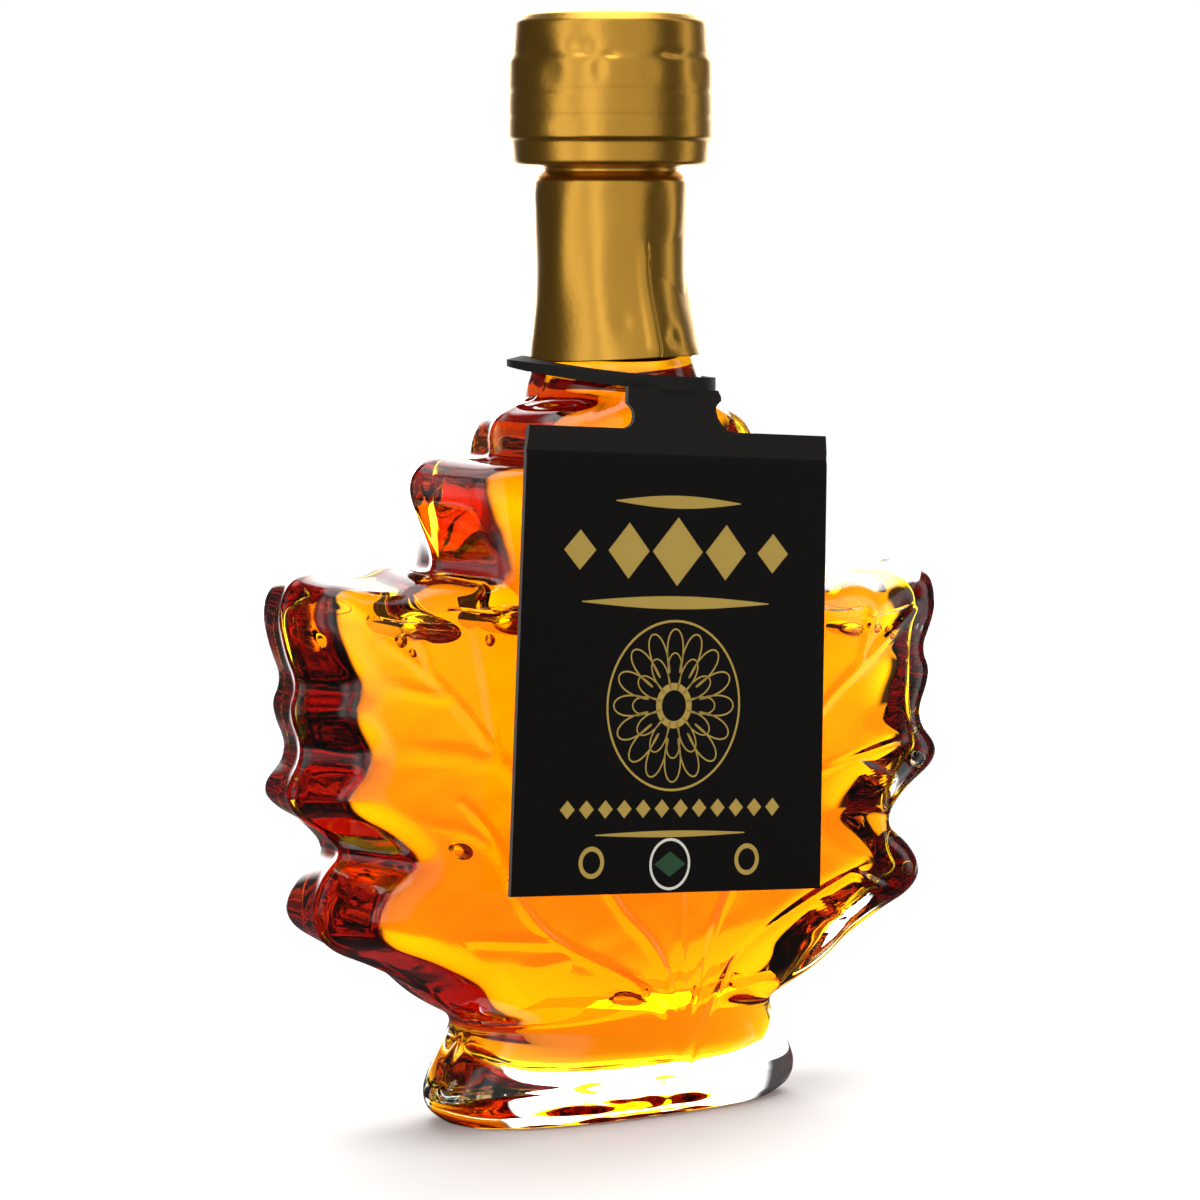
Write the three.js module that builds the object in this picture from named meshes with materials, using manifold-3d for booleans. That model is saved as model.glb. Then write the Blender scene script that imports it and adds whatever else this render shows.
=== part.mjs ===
// A leaf-shaped glass bottle of syrup with a gold capsule over its closure and a black card hang tag.
// Millimetres, +Z up. The foot rests on Z = 0 and the front of the leaf looks along -Y.
import * as THREE from "three";
import { ParametricGeometry } from "three/addons/geometries/ParametricGeometry.js";
import { mergeVertices } from "three/addons/utils/BufferGeometryUtils.js";
import Module from "manifold-3d";

// Overall sizes
const NECK_RADIUS = 9.2;
const FINISH_RADIUS = 7.8;
const MOUTH_HEIGHT = 137.4;
const BORE_RADIUS = 6.2;
const SIDE_WALL = 3.4;
const FACE_WALL = 2.8;
const BASE_THICKNESS = 6.2;
const FILL_HEIGHT = 101;
const SYRUP_GAP = 0.5;
const EDGE_ROUNDING = 3.2;
const LEAF_HALF_WIDTH = 50;
const SHOULDER_HALF_WIDTH = 34;
const SHOULDER_HEIGHTS = [64, 76];
const TOP_HALF_WIDTH = 20;
const TOP_HEIGHTS = [80, 88];
const WAIST_HEIGHT = 12.6;
const COLLAR_HEIGHT = 92.8;

// Right half of the body from the foot to the collar: x, z of the face edge, then x, z of the mould seam
const BODY_OUTLINE = [
  [24.6, 0, 24.6, 0],
  [26.8, 1.5, 26.8, 1.5],
  [27.3, 4.4, 27.3, 4.4],
  [25.2, 8.6, 25.2, 8.6],
  [23.1, 12.6, 23.1, 12.6],
  [25.8, 15.9, 26.5, 15.2],
  [29.6, 19.8, 31.0, 18.2],
  [36.2, 23.2, 37.8, 21.6],
  [42.0, 25.7, 44.2, 24.6],
  [43.6, 28.8, 46.2, 28.6],
  [41.2, 32.0, 44.6, 33.0],
  [38.0, 35.1, 42.4, 35.8],
  [41.2, 38.8, 44.8, 38.6],
  [46.0, 41.6, 48.8, 41.2],
  [47.4, 44.4, 50.0, 44.2],
  [44.6, 48.4, 48.2, 48.6],
  [46.7, 53.6, 49.4, 53.4],
  [46.0, 57.2, 48.8, 57.0],
  [47.8, 61.2, 50.2, 61.2],
  [49.2, 66.2, 51.0, 66.4],
  [46.8, 69.2, 48.0, 70.2],
  [39.6, 68.0, 40.4, 69.8],
  [34.0, 69.2, 34.8, 70.8],
  [26.6, 68.6, 29.6, 69.8],
  [23.7, 70.6, 28.0, 71.6],
  [24.6, 75.6, 29.8, 76.0],
  [25.7, 80.8, 31.4, 81.0],
  [22.2, 83.1, 27.4, 84.0],
  [16.5, 83.5, 19.8, 83.8],
  [15.9, 87.0, 18.9, 87.4],
  [13.4, 89.6, 16.0, 89.8],
  [11.4, 91.0, 11.7, 91.0],
  [10.9, 92.8, 10.9, 92.8],
];
// Half depth of the bottle on its centre line and at the leaf's edge, by height
const CENTRE_DEPTH = [[0, 10], [1.5, 11.7], [4.4, 12.6], [8.6, 12.3], [12.6, 12.3], [24, 13.1], [60, 13],
  [80, 12], [92.8, 10.9]];
const EDGE_DEPTH = [[0, 11], [34, 11.2], [66, 8.1], [80, 8.1], [92.8, 6.8]];
// The upper right lobe is lower than the left one: the drop, its share at the tip, and where it fades
const LOBE_DROP = 3;
const LOBE_TIP_SHARE = 0.65;
const LOBE_START = [14, 32];
const LOBE_TIP = [36, 48];
const LOBE_LOW = [55, 67];
const LOBE_HIGH = [73, 80];
// The top lobe's tip stands out on the front of the neck: how far, and the heights where this fades
const TIP_RISE = 2;
const TIP_LOW = [76, 93];
const TIP_HIGH = [96, 108];
const TIP_DEPTH = 11;
// Radius and height up the neck, hidden finish included
const NECK_PROFILE = [[10.45, 94.2], [9.9, 96], [9.5, 98.5], [9.2, 103], [9.2, 108], [NECK_RADIUS, 117.4],
  [8.6, 118.4], [FINISH_RADIUS, 119], [FINISH_RADIUS, 128], [FINISH_RADIUS, MOUTH_HEIGHT]];

// Hollow of the foot: half width, height and half depth
const HOLLOW_FOOT = [[16.5, BASE_THICKNESS, 6.0], [19.6, 7.0, 7.8], [20.6, 8.8, 9.0], [19.9, 10.8, 9.4]];
const HOLLOW_SMOOTHING = 5;
// Where the hollow narrows to the bore: extra radius and height over the collar
const HOLLOW_THROAT = [[0.8, 2.7], [0.2, 5]];
const BLEND_HEIGHT = 5.5;
const FOOT_POWER = 0.8;
// Shares of a quarter section taken by the drafted wall, then by wall and rounded edge together
const WALL_SHARE = 1 / 6;
const EDGE_SHARE = 1 / 2;

// Gold capsule: radius and height down its outside, then up its inside
const SLEEVE_TOP = 118.4;
const SLEEVE_BOTTOM = 96.1;
const CAPSULE_OUTSIDE = [[0, 140.2], [9.6, 140.1], [11.4, 139.5], [12.3, 138.5], [12.5, 134.7], [13, 133.6],
  [13.1, 130.3], [12.95, 129.9], [13.1, 129.4], [13.15, 127], [13, 126.6], [13.15, 126.2], [13.15, 124],
  [12.7, 123.5], [12.5, 120.9], [12.2, 120.5], [8.7, 120.3], [8.6, 119.6], [9.4, 119], [9.8, SLEEVE_TOP],
  [9.7, 115], [9.7, 108], [9.8, 103], [10.1, 99], [10.5, SLEEVE_BOTTOM]];
const CAPSULE_INSIDE = [[10.35, SLEEVE_BOTTOM], [9.9, 98.6], [9.56, 103], [9.53, 117.6], [8.2, 119.4],
  [8.1, 121], [8.1, 137.7], [0, 137.7]];
const CAPSULE_FACETS = 30;
const LOOSE_SIDE = [0.79, -0.61];
const LOOSE_FLARE = 0.3;
const FLARE_HEIGHT = 11;
const CUT_SLANT = 0.55;

// Hang tag
const CARD_THICKNESS = 0.6;
const CREASE_WIDTH = 48.3;
const CREASE_CENTRE = [0, -13.5, 84.3];
const PANEL_LENGTH = 55;
const PANEL_BOTTOM_WIDTH = 49.8;
const PANEL_TILT = 0.035;
const BAND_HEIGHT = 3;
const BAND_TAPER = 0.3;
const BAND_TILT = 0.03;
const TAG_ROLL = -0.06;
const TAG_NECK_WIDTH = 12.8;
const TAG_NECK_OFFSET = -0.9;
const TAG_NECK_TOP = 8.2;
const STRAP_RADIUS = 11.35;
const STRAP_REACH = 1.18;
const STRAP_WIDTH = 2.2;
const STRAP_THICKNESS = 0.8;
const STRAP_HEIGHT = 93.9;
const STRAP_SLOPE = 1.5;
const STRAP_BOW = 0.5;
const STRAP_DROOP = 0.6;
const STRAP_TALL = 1.8;
const STRAP_FACETS = 32;

// Raised veins on the front face: x, z places from the root outwards
const VEIN_WIDTH = 1.7;
const VEIN_HEIGHT = 0.55;
const VEINS = [
  [[2.4, 6.5], [2.2, 10], [1.3, 20], [0.8, 31], [0.4, 52]],
  [[2.2, 10.5], [-3.3, 21.9], [-10.5, 29.3], [-21, 46]],
  [[2.1, 10.4], [-7.6, 18.5], [-18.5, 24], [-24.4, 30], [-28.7, 37.6], [-37, 40]],
  [[2.5, 10.6], [5.6, 21.1], [8.5, 27.7], [17, 44]],
  [[2.4, 9.6], [7.8, 15.6], [11.3, 20.5], [22.8, 26.4], [33, 29.6]],
  [[-17, 35], [-25.9, 46.3], [-36.2, 58.3], [-42.4, 62.4]],
  [[14, 40], [24.5, 50.4], [31.7, 55.4], [43, 62.4]],
  [[-26, 46.5], [-34.1, 48.8], [-41, 49.7]],
  [[24.4, 42.5], [30.4, 43.9], [39.4, 45.6]],
];
const VEIN_SINK = 0.35;
const VEIN_TIP_SHARE = 0.3;
const VEIN_STEPS = 7;
const HULL_PASSES = 14;

const lerp = THREE.MathUtils.lerp;
const smoothstep = THREE.MathUtils.smoothstep;

// Straight-line value of a list of [place, value] pairs
function along(pairs, place) {
  let i = 1;
  while (i < pairs.length - 1 && pairs[i][0] < place) i += 1;
  const [a, b] = [pairs[i - 1], pairs[i]];
  const share = THREE.MathUtils.clamp((place - a[0]) / (b[0] - a[0]), 0, 1);
  return lerp(a[1], b[1], share);
}

// Smooth curve through rows of numbers, a quadratic B-spline with steps samples for each row
function smoothRows(rows, steps) {
  let hull = rows.map((row) => [...row]);
  for (let pass = 0; pass < HULL_PASSES; pass += 1) {
    hull = rows.map((row, i) => {
      if (i === 0 || i === rows.length - 1) return [...row];
      return row.map((value, k) => (8 * value - hull[i - 1][k] - hull[i + 1][k]) / 6);
    });
  }
  const samples = [[...rows[0]]];
  for (let i = 1; i < rows.length - 1; i += 1) {
    for (let step = 0; step < steps; step += 1) {
      const w = (step + 0.5) / steps;
      samples.push(rows[i].map((_, k) => {
        const before = i === 1 ? hull[0][k] : (hull[i - 1][k] + hull[i][k]) / 2;
        const after = i === rows.length - 2 ? hull[i + 1][k] : (hull[i][k] + hull[i + 1][k]) / 2;
        return (1 - w) ** 2 * before + 2 * w * (1 - w) * hull[i][k] + w * w * after;
      }));
    }
  }
  samples.push([...rows[rows.length - 1]]);
  return samples;
}

// Height of the matching point on the centre line: its own height in foot and neck, arc length in the leaf
function spineHeights(outline) {
  const lengths = [0];
  outline.forEach((row, i) => {
    if (i === 0) return;
    const before = outline[i - 1];
    const inLeaf = row[1] > WAIST_HEIGHT || before[1] > WAIST_HEIGHT;
    lengths.push(lengths[i - 1] + (inLeaf ? Math.hypot(row[0] - before[0], row[1] - before[1]) : 0));
  });
  const whole = lengths[lengths.length - 1];
  return outline.map((row, i) => {
    if (lengths[i] === 0) return row[1];
    return lerp(WAIST_HEIGHT, COLLAR_HEIGHT, lengths[i] / whole);
  });
}

// Half depth of the domed face at a point of the leaf
function faceDepth(x, z) {
  const edge = along(EDGE_DEPTH, z);
  const shoulder = lerp(LEAF_HALF_WIDTH, SHOULDER_HALF_WIDTH, smoothstep(z, ...SHOULDER_HEIGHTS));
  const halfWidth = lerp(shoulder, TOP_HALF_WIDTH, smoothstep(z, ...TOP_HEIGHTS));
  const dome = Math.max(0, 1 - (x / halfWidth) ** 2);
  return edge + (along(CENTRE_DEPTH, z) - edge) * dome;
}

// Uneven features of the whole: the lower right lobe and the leaf's tip on the neck
function uneven(x, y, z) {
  const sideways = smoothstep(x, ...LOBE_START) * lerp(1, LOBE_TIP_SHARE, smoothstep(x, ...LOBE_TIP));
  const lobe = sideways * smoothstep(z, ...LOBE_LOW) * (1 - smoothstep(z, ...LOBE_HIGH));
  const tip = y < 0 ? TIP_RISE * smoothstep(z, ...TIP_LOW) * (1 - smoothstep(z, ...TIP_HIGH)) : 0;
  return [x, y * (1 + tip / TIP_DEPTH), z - LOBE_DROP * lobe];
}

// Point of a quarter section: across runs from the seam at 0 to the centre line at 1
function sectionPoint(row, across, inset) {
  const [faceX, faceZ] = row.face;
  const [seamX, seamZ] = row.seam;
  const angle = across * Math.PI / 2;
  const power = row.spineZ < WAIST_HEIGHT + BLEND_HEIGHT ? FOOT_POWER : 1;
  const ovalX = seamX * Math.cos(angle) ** power;
  const ovalZ = lerp(row.spineZ, seamZ, seamX > 0 ? ovalX / seamX : 0);
  const oval = [ovalX, row.depth * Math.sin(angle) ** power, ovalZ];
  const rise = smoothstep(row.spineZ, WAIST_HEIGHT, WAIST_HEIGHT + BLEND_HEIGHT);
  const blend = rise * (1 - smoothstep(row.spineZ, COLLAR_HEIGHT - BLEND_HEIGHT, COLLAR_HEIGHT));
  if (blend === 0) return oval;
  const edgeY = faceDepth(faceX, faceZ) - inset;
  const inX = faceX + EDGE_ROUNDING * row.inward[0];
  const inZ = faceZ + EDGE_ROUNDING * row.inward[1];
  const wall = 1 - EDGE_ROUNDING / edgeY;
  const low = [lerp(seamX, faceX, wall), edgeY * wall, lerp(seamZ, faceZ, wall)];
  const corner = [faceX, edgeY, faceZ];
  const high = [inX, faceDepth(inX, inZ) - inset, inZ];
  let leaf;
  if (across < WALL_SHARE) {
    const t = across / WALL_SHARE;
    leaf = [lerp(seamX, low[0], t), lerp(0, low[1], t), lerp(seamZ, low[2], t)];
  } else if (across < EDGE_SHARE) {
    const t = (across - WALL_SHARE) / (EDGE_SHARE - WALL_SHARE);
    leaf = corner.map((value, k) => (1 - t) ** 2 * low[k] + 2 * t * (1 - t) * value + t * t * high[k]);
  } else {
    const t = (across - EDGE_SHARE) / (1 - EDGE_SHARE);
    const x = lerp(inX, 0, t);
    const z = lerp(inZ, row.spineZ, t);
    leaf = [x, faceDepth(x, z) - inset, z];
  }
  return leaf.map((value, k) => lerp(oval[k], value, blend));
}

// Closed body through all section rows, with a point on the axis at both ends
function bodyOfRows(rows, around, inset) {
  const quarter = around / 4;
  return new ParametricGeometry((u, v, target) => {
    const index = Math.round(v * (rows.length + 1)) - 1;
    if (index < 0 || index >= rows.length) {
      target.set(0, 0, rows[index < 0 ? 0 : rows.length - 1].spineZ);
      return;
    }
    const place = (around - Math.round(u * around)) % around;
    const quadrant = Math.floor(place / quarter);
    const share = (place % quarter) / quarter;
    const across = quadrant % 2 === 0 ? share : 1 - share;
    const [x, y, z] = sectionPoint(rows[index], across, inset);
    const right = quadrant === 0 || quadrant === 3;
    target.set(...uneven(right ? x : -x, quadrant < 2 ? -y : y, z));
  }, around, rows.length + 1);
}

// Unit direction into the glass, square to an outline of [x, z] places at one of them
function inwardAt(outline, i, spread) {
  const before = outline[Math.max(0, i - spread)];
  const after = outline[Math.min(outline.length - 1, i + spread)];
  const length = Math.hypot(after[0] - before[0], after[1] - before[1]);
  return [(before[1] - after[1]) / length, (after[0] - before[0]) / length];
}

// Section rows from outline samples of face x, face z, seam x, seam z
function sectionRows(samples, thinning) {
  const heights = spineHeights(samples);
  return samples.map((sample, i) => ({
    face: [sample[0], sample[1]],
    seam: [sample[2], sample[3]],
    spineZ: heights[i],
    depth: along(CENTRE_DEPTH, heights[i]) - thinning,
    inward: inwardAt(samples, i, 2),
  }));
}

function roundRow(radius, z, depth = radius) {
  return { face: [radius, z], seam: [radius, z], spineZ: z, depth, inward: [-1, 0] };
}

// Section rows of the glass: foot and leaf, then neck
function glassRows() {
  const rows = sectionRows(smoothRows(BODY_OUTLINE, 3), 0);
  return [...rows, ...NECK_PROFILE.map(([radius, z]) => roundRow(radius, z))];
}

// Section rows of the hollow: the leaf moved in by the wall and smoothed, as blown glass is rounder inside
function hollowRows(extra, topHeight) {
  const samples = smoothRows(BODY_OUTLINE, 2).filter((row) => row[3] >= WAIST_HEIGHT - 0.1);
  const faces = samples.map((row) => [row[0], row[1]]);
  const seams = samples.map((row) => [row[2], row[3]]);
  let moved = samples.map((row, i) => {
    const face = inwardAt(faces, i, 1);
    const seam = inwardAt(seams, i, 1);
    const wall = SIDE_WALL + extra;
    const faceEdge = [row[0] + wall * face[0], row[1] + wall * face[1]];
    return [...faceEdge, row[2] + wall * seam[0], row[3] + wall * seam[1]];
  });
  for (let pass = 0; pass < HOLLOW_SMOOTHING; pass += 1) {
    moved = moved.map((row, i) => {
      if (i === 0 || i === moved.length - 1) return row;
      return row.map((value, k) => (moved[i - 1][k] + 2 * value + moved[i + 1][k]) / 4);
    });
  }
  const foot = HOLLOW_FOOT.map(([x, z, depth]) => roundRow(x - extra, z + extra, depth - extra));
  const bore = BORE_RADIUS - extra;
  const throat = HOLLOW_THROAT.map(([flare, rise]) => roundRow(bore + flare, COLLAR_HEIGHT + rise));
  return [...foot, ...sectionRows(moved, FACE_WALL + extra), ...throat, roundRow(bore, topHeight)];
}

const wasm = await Module();
wasm.setup();

// Indexed copy of a geometry without the triangles that its poles flatten
function welded(geometry) {
  const bare = geometry.clone();
  bare.deleteAttribute("normal");
  bare.deleteAttribute("uv");
  const merged = mergeVertices(bare, 1e-3);
  const kept = [];
  const index = merged.index.array;
  for (let i = 0; i < index.length; i += 3) {
    const [a, b, c] = [index[i], index[i + 1], index[i + 2]];
    if (a !== b && b !== c && c !== a) kept.push(a, b, c);
  }
  merged.setIndex(kept);
  return merged;
}

function solidOf(geometry) {
  const merged = welded(geometry);
  return new wasm.Manifold(new wasm.Mesh({
    numProp: 3,
    vertProperties: new Float32Array(merged.attributes.position.array),
    triVerts: new Uint32Array(merged.index.array),
  }));
}

function geometryOf(solid) {
  const mesh = solid.getMesh();
  const geometry = new THREE.BufferGeometry();
  geometry.setAttribute("position", new THREE.BufferAttribute(new Float32Array(mesh.vertProperties), 3));
  geometry.setIndex(new THREE.BufferAttribute(new Uint32Array(mesh.triVerts), 1));
  geometry.computeVertexNormals();
  return geometry;
}

function part(name, geometry, color, roughness, metalness) {
  const mesh = new THREE.Mesh(geometry, new THREE.MeshStandardMaterial({ color, roughness, metalness }));
  mesh.name = name;
  return mesh;
}

// Glass bottle and the syrup in it
const outside = solidOf(bodyOfRows(glassRows(), 24, 0));
const hollow = solidOf(bodyOfRows(hollowRows(0, MOUTH_HEIGHT + 2), 16, FACE_WALL));
const syrupBody = solidOf(bodyOfRows(hollowRows(SYRUP_GAP, FILL_HEIGHT), 16, FACE_WALL + SYRUP_GAP));

// Low ridge along a vein: a flat-bottomed wedge that follows the domed face, tapered at its ends
function veinGeometry(places) {
  const curve = new THREE.SplineCurve(places.map(([x, z]) => new THREE.Vector2(x, z)));
  const rings = VEIN_STEPS + 2;
  return new ParametricGeometry((u, v, target) => {
    const ring = Math.round(v * rings);
    const run = THREE.MathUtils.clamp((ring - 1) / VEIN_STEPS, 0, 1);
    const tip = ring === 0 || ring === rings;
    const corner = tip ? 0 : Math.round(u * 3) % 3;
    const at = curve.getPoint(run);
    const heading = curve.getTangent(run);
    const size = Math.min(1, VEIN_TIP_SHARE + 4 * Math.min(run, 1 - run));
    const away = corner === 0 ? 0 : (corner === 1 ? -1 : 1) * VEIN_WIDTH * size / 2;
    const x = at.x - heading.y * away;
    const z = at.y + heading.x * away;
    const proud = corner === 0 && !tip ? VEIN_HEIGHT * size : -VEIN_SINK;
    target.set(x, -(Math.min(faceDepth(x, z), along(CENTRE_DEPTH, z)) + proud), z);
  }, 3, rings);
}

const ridges = VEINS.map((places) => solidOf(veinGeometry(places)));
const glass = ridges.reduce((whole, ridge) => whole.add(ridge), outside).subtract(hollow);

// Gold capsule shrunk over the closure and the neck, its lower edge cut aslant and loose at one side
function capsuleGeometry() {
  const profile = [...CAPSULE_OUTSIDE, ...CAPSULE_INSIDE].map(([radius, z]) => new THREE.Vector2(radius, z));
  const geometry = new THREE.LatheGeometry(profile.toReversed(), CAPSULE_FACETS);
  geometry.rotateX(Math.PI / 2);
  const place = geometry.attributes.position;
  for (let i = 0; i < place.count; i += 1) {
    const [x, y, z] = [place.getX(i), place.getY(i), place.getZ(i)];
    const radius = Math.hypot(x, y);
    if (z < SLEEVE_TOP - 1 && radius > 0) {
      const side = (x * LOOSE_SIDE[0] + y * LOOSE_SIDE[1]) / radius;
      const low = 1 - smoothstep(z, SLEEVE_BOTTOM, SLEEVE_BOTTOM + FLARE_HEIGHT);
      const flare = 1 + (LOOSE_FLARE * low * Math.max(0, side) ** 3) / radius;
      const cut = z < SLEEVE_BOTTOM + 1 ? CUT_SLANT * side : 0;
      place.setXYZ(i, ...uneven(x * flare, y * flare, z + cut));
    }
  }
  return geometry;
}

// Card of the tag: panel below the crease, band and narrow neck above it, strap round the bottle's neck
function cardGeometry(outline, fold) {
  const shape = new THREE.Shape(outline.map(([x, y]) => new THREE.Vector2(x, y)));
  const geometry = new THREE.ExtrudeGeometry(shape, { depth: CARD_THICKNESS, bevelEnabled: false });
  geometry.rotateX(fold);
  geometry.rotateZ(TAG_ROLL);
  geometry.rotateX(Math.PI / 2);
  geometry.translate(CREASE_CENTRE[0], CREASE_CENTRE[1], CREASE_CENTRE[2]);
  return geometry;
}

// Strap section corners at an angle round the neck, seen from above, 0 at the right
function strapGeometry() {
  return new ParametricGeometry((u, v, target) => {
    const angle = -v * Math.PI * 2;
    const corner = Math.round(u * 4) % 4;
    const outer = corner === 1 || corner === 2;
    const upper = corner >= 2;
    const front = 0.5 - 0.5 * Math.sin(angle);
    const side = Math.cos(angle) * LOOSE_SIDE[0] + Math.sin(angle) * LOOSE_SIDE[1];
    const radius = STRAP_RADIUS + (outer ? lerp(STRAP_WIDTH, STRAP_THICKNESS, front) : 0);
    const base = STRAP_HEIGHT - STRAP_SLOPE * side + STRAP_BOW * side * side;
    const height = outer ? base - STRAP_DROOP * (1 - front) : base;
    const tall = lerp(CARD_THICKNESS, STRAP_TALL, front);
    const reach = Math.sin(angle) < 0 ? STRAP_REACH : 1;
    const z = height + (upper ? tall : 0) - tall / 2;
    target.set(radius * Math.cos(angle), reach * radius * Math.sin(angle), z);
  }, 4, STRAP_FACETS);
}

const halfTop = CREASE_WIDTH / 2;
const halfBottom = PANEL_BOTTOM_WIDTH / 2;
const panel = [[-halfBottom, -PANEL_LENGTH], [halfBottom, -PANEL_LENGTH], [halfTop, 0], [-halfTop, 0]];
const halfNeck = TAG_NECK_WIDTH / 2;
const fillet = [[2.4, 0], [1.1, 0.35], [0.35, 1.1], [0, 2.4]];
const band = [[-halfTop, -0.02], [halfTop, -0.02], [halfTop - BAND_TAPER, BAND_HEIGHT],
  ...fillet.map(([x, y]) => [TAG_NECK_OFFSET + halfNeck + x, BAND_HEIGHT + y]),
  [TAG_NECK_OFFSET + halfNeck, TAG_NECK_TOP], [TAG_NECK_OFFSET - halfNeck, TAG_NECK_TOP],
  ...fillet.toReversed().map(([x, y]) => [TAG_NECK_OFFSET - halfNeck - x, BAND_HEIGHT + y]),
  [-halfTop + BAND_TAPER, BAND_HEIGHT]];
const tagBody = solidOf(cardGeometry(panel, -PANEL_TILT))
  .add(solidOf(cardGeometry(band, -BAND_TILT)))
  .add(solidOf(strapGeometry()));

const group = new THREE.Group();
group.add(part("bottle", geometryOf(glass), "#f4f1ea", 0.05, 0));
group.add(part("syrup", geometryOf(syrupBody), "#ff9a00", 0.1, 0));
group.add(part("capsule", geometryOf(solidOf(capsuleGeometry())), "#b98a35", 0.35, 0.8));
group.add(part("tag", geometryOf(tagBody), "#15110e", 0.6, 0));

export default group;
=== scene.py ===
"""Looks of a leaf-shaped glass bottle of amber syrup, with a gold capsule and a black card hang tag.

Every surface is worked out on a grid with numpy, in millimetres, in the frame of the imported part.
"""

import math

import bpy
import numpy as np
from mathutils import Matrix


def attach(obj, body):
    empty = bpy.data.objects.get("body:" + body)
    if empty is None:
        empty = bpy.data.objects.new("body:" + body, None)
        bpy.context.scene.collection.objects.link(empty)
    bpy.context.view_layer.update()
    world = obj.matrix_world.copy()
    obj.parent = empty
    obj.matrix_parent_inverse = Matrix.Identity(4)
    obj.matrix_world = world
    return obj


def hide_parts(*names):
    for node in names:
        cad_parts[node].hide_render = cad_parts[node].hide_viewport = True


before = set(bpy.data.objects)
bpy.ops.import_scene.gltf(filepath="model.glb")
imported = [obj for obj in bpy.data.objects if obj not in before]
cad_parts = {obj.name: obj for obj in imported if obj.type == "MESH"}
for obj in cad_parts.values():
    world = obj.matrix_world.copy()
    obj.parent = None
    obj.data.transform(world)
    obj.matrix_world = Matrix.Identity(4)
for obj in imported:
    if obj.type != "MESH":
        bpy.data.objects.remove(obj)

bl_info = {
    "name": "Leaf Syrup Bottle",
    "version": (1, 0, 0),
    "blender": (4, 5, 0),
    "location": "View3D > Sidebar > Syrup Bottle",
    "description": "Glass leaf bottle of amber syrup with its capsule, hang tag and studio",
    "category": "Object",
}

MM = 0.001

# Body of the bottle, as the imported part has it: x, z of the face edge, then x, z of the mould seam
BODY_OUTLINE = np.array([
    [24.6, 0, 24.6, 0], [26.8, 1.5, 26.8, 1.5], [27.3, 4.4, 27.3, 4.4], [25.2, 8.6, 25.2, 8.6],
    [23.1, 12.6, 23.1, 12.6], [25.8, 15.9, 26.5, 15.2], [29.6, 19.8, 31.0, 18.2], [36.2, 23.2, 37.8, 21.6],
    [42.0, 25.7, 44.2, 24.6], [43.6, 28.8, 46.2, 28.6], [41.2, 32.0, 44.6, 33.0], [38.0, 35.1, 42.4, 35.8],
    [41.2, 38.8, 44.8, 38.6], [46.0, 41.6, 48.8, 41.2], [47.4, 44.4, 50.0, 44.2], [44.6, 48.4, 48.2, 48.6],
    [46.7, 53.6, 49.4, 53.4], [46.0, 57.2, 48.8, 57.0], [47.8, 61.2, 50.2, 61.2], [49.2, 66.2, 51.0, 66.4],
    [46.8, 69.2, 48.0, 70.2], [39.6, 68.0, 40.4, 69.8], [34.0, 69.2, 34.8, 70.8], [26.6, 68.6, 29.6, 69.8],
    [23.7, 70.6, 28.0, 71.6], [24.6, 75.6, 29.8, 76.0], [25.7, 80.8, 31.4, 81.0], [22.2, 83.1, 27.4, 84.0],
    [16.5, 83.5, 19.8, 83.8], [15.9, 87.0, 18.9, 87.4], [13.4, 89.6, 16.0, 89.8], [11.4, 91.0, 11.7, 91.0],
    [10.9, 92.8, 10.9, 92.8],
])
# Half depth of the body by height, at the centre line and at the edge of the face
CENTRE_DEPTH = [[0, 10], [1.5, 11.7], [4.4, 12.6], [8.6, 12.3], [12.6, 12.3], [24, 13.1], [60, 13], [80, 12],
                [92.8, 10.9]]
EDGE_DEPTH = [[0, 11], [34, 11.2], [66, 8.1], [80, 8.1], [92.8, 6.8]]
# Half the height over which a slope of the depth lists is rounded off, and the steps across it
DEPTH_ROUNDING, DEPTH_STEPS = 8, 25
# Neck: radius and height
NECK_PROFILE = [[10.45, 94.2], [9.9, 96], [9.5, 98.5], [9.2, 103], [9.2, 108], [9.2, 117.4], [8.6, 118.4],
                [7.8, 119], [7.8, 128], [7.8, 137.4]]
WAIST_HEIGHT, COLLAR_HEIGHT, MOUTH_HEIGHT, FILL_HEIGHT = 12.6, 92.8, 137.4, 101
BORE_RADIUS, SIDE_WALL, FACE_WALL, EDGE_ROUNDING = 6.2, 3.4, 2.8, 3.2
# Half width over which the face is domed: leaf, shoulders and top lobe, and the heights where it changes
LEAF_HALF_WIDTH, SHOULDER_HALF_WIDTH, TOP_HALF_WIDTH = 50, 34, 20
SHOULDER_HEIGHTS, TOP_HEIGHTS = (64, 76), (80, 88)
# Right lobe: how far it is lowered, and from where to where it is
LOBE_DROP, LOBE_TIP_SHARE = 3, 0.65
LOBE_START, LOBE_TIP, LOBE_LOW, LOBE_HIGH = (14, 32), (36, 48), (55, 67), (73, 80)
# Leaf's tip on the front of the neck
TIP_RISE, TIP_DEPTH, TIP_LOW, TIP_HIGH = 2, 11, (76, 93), (96, 108)
# Hollow: half width, height and half depth of its foot, widening and height of its throat
HOLLOW_FOOT = [[16.5, 6.2, 6.0], [19.6, 7.0, 7.8], [20.6, 8.8, 9.0], [19.9, 10.8, 9.4]]
HOLLOW_THROAT = [[0.8, 2.7], [0.2, 5]]
HOLLOW_SMOOTHING = 5
# Passes that find the spline's hull, and rows of the outside for each row of the outline
HULL_PASSES, OUTLINE_STEPS = 14, 7
# Tips of lobes: how much the moved edge may shrink, rows beside them, averaging passes
TIP_TIGHT, TIP_REACH, TIP_PASSES = 0.4, 4, 120
# Where oval sections turn into leaf sections, and how square the foot's oval is
BLEND_HEIGHT, FOOT_POWER = 5.5, 0.8
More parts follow.
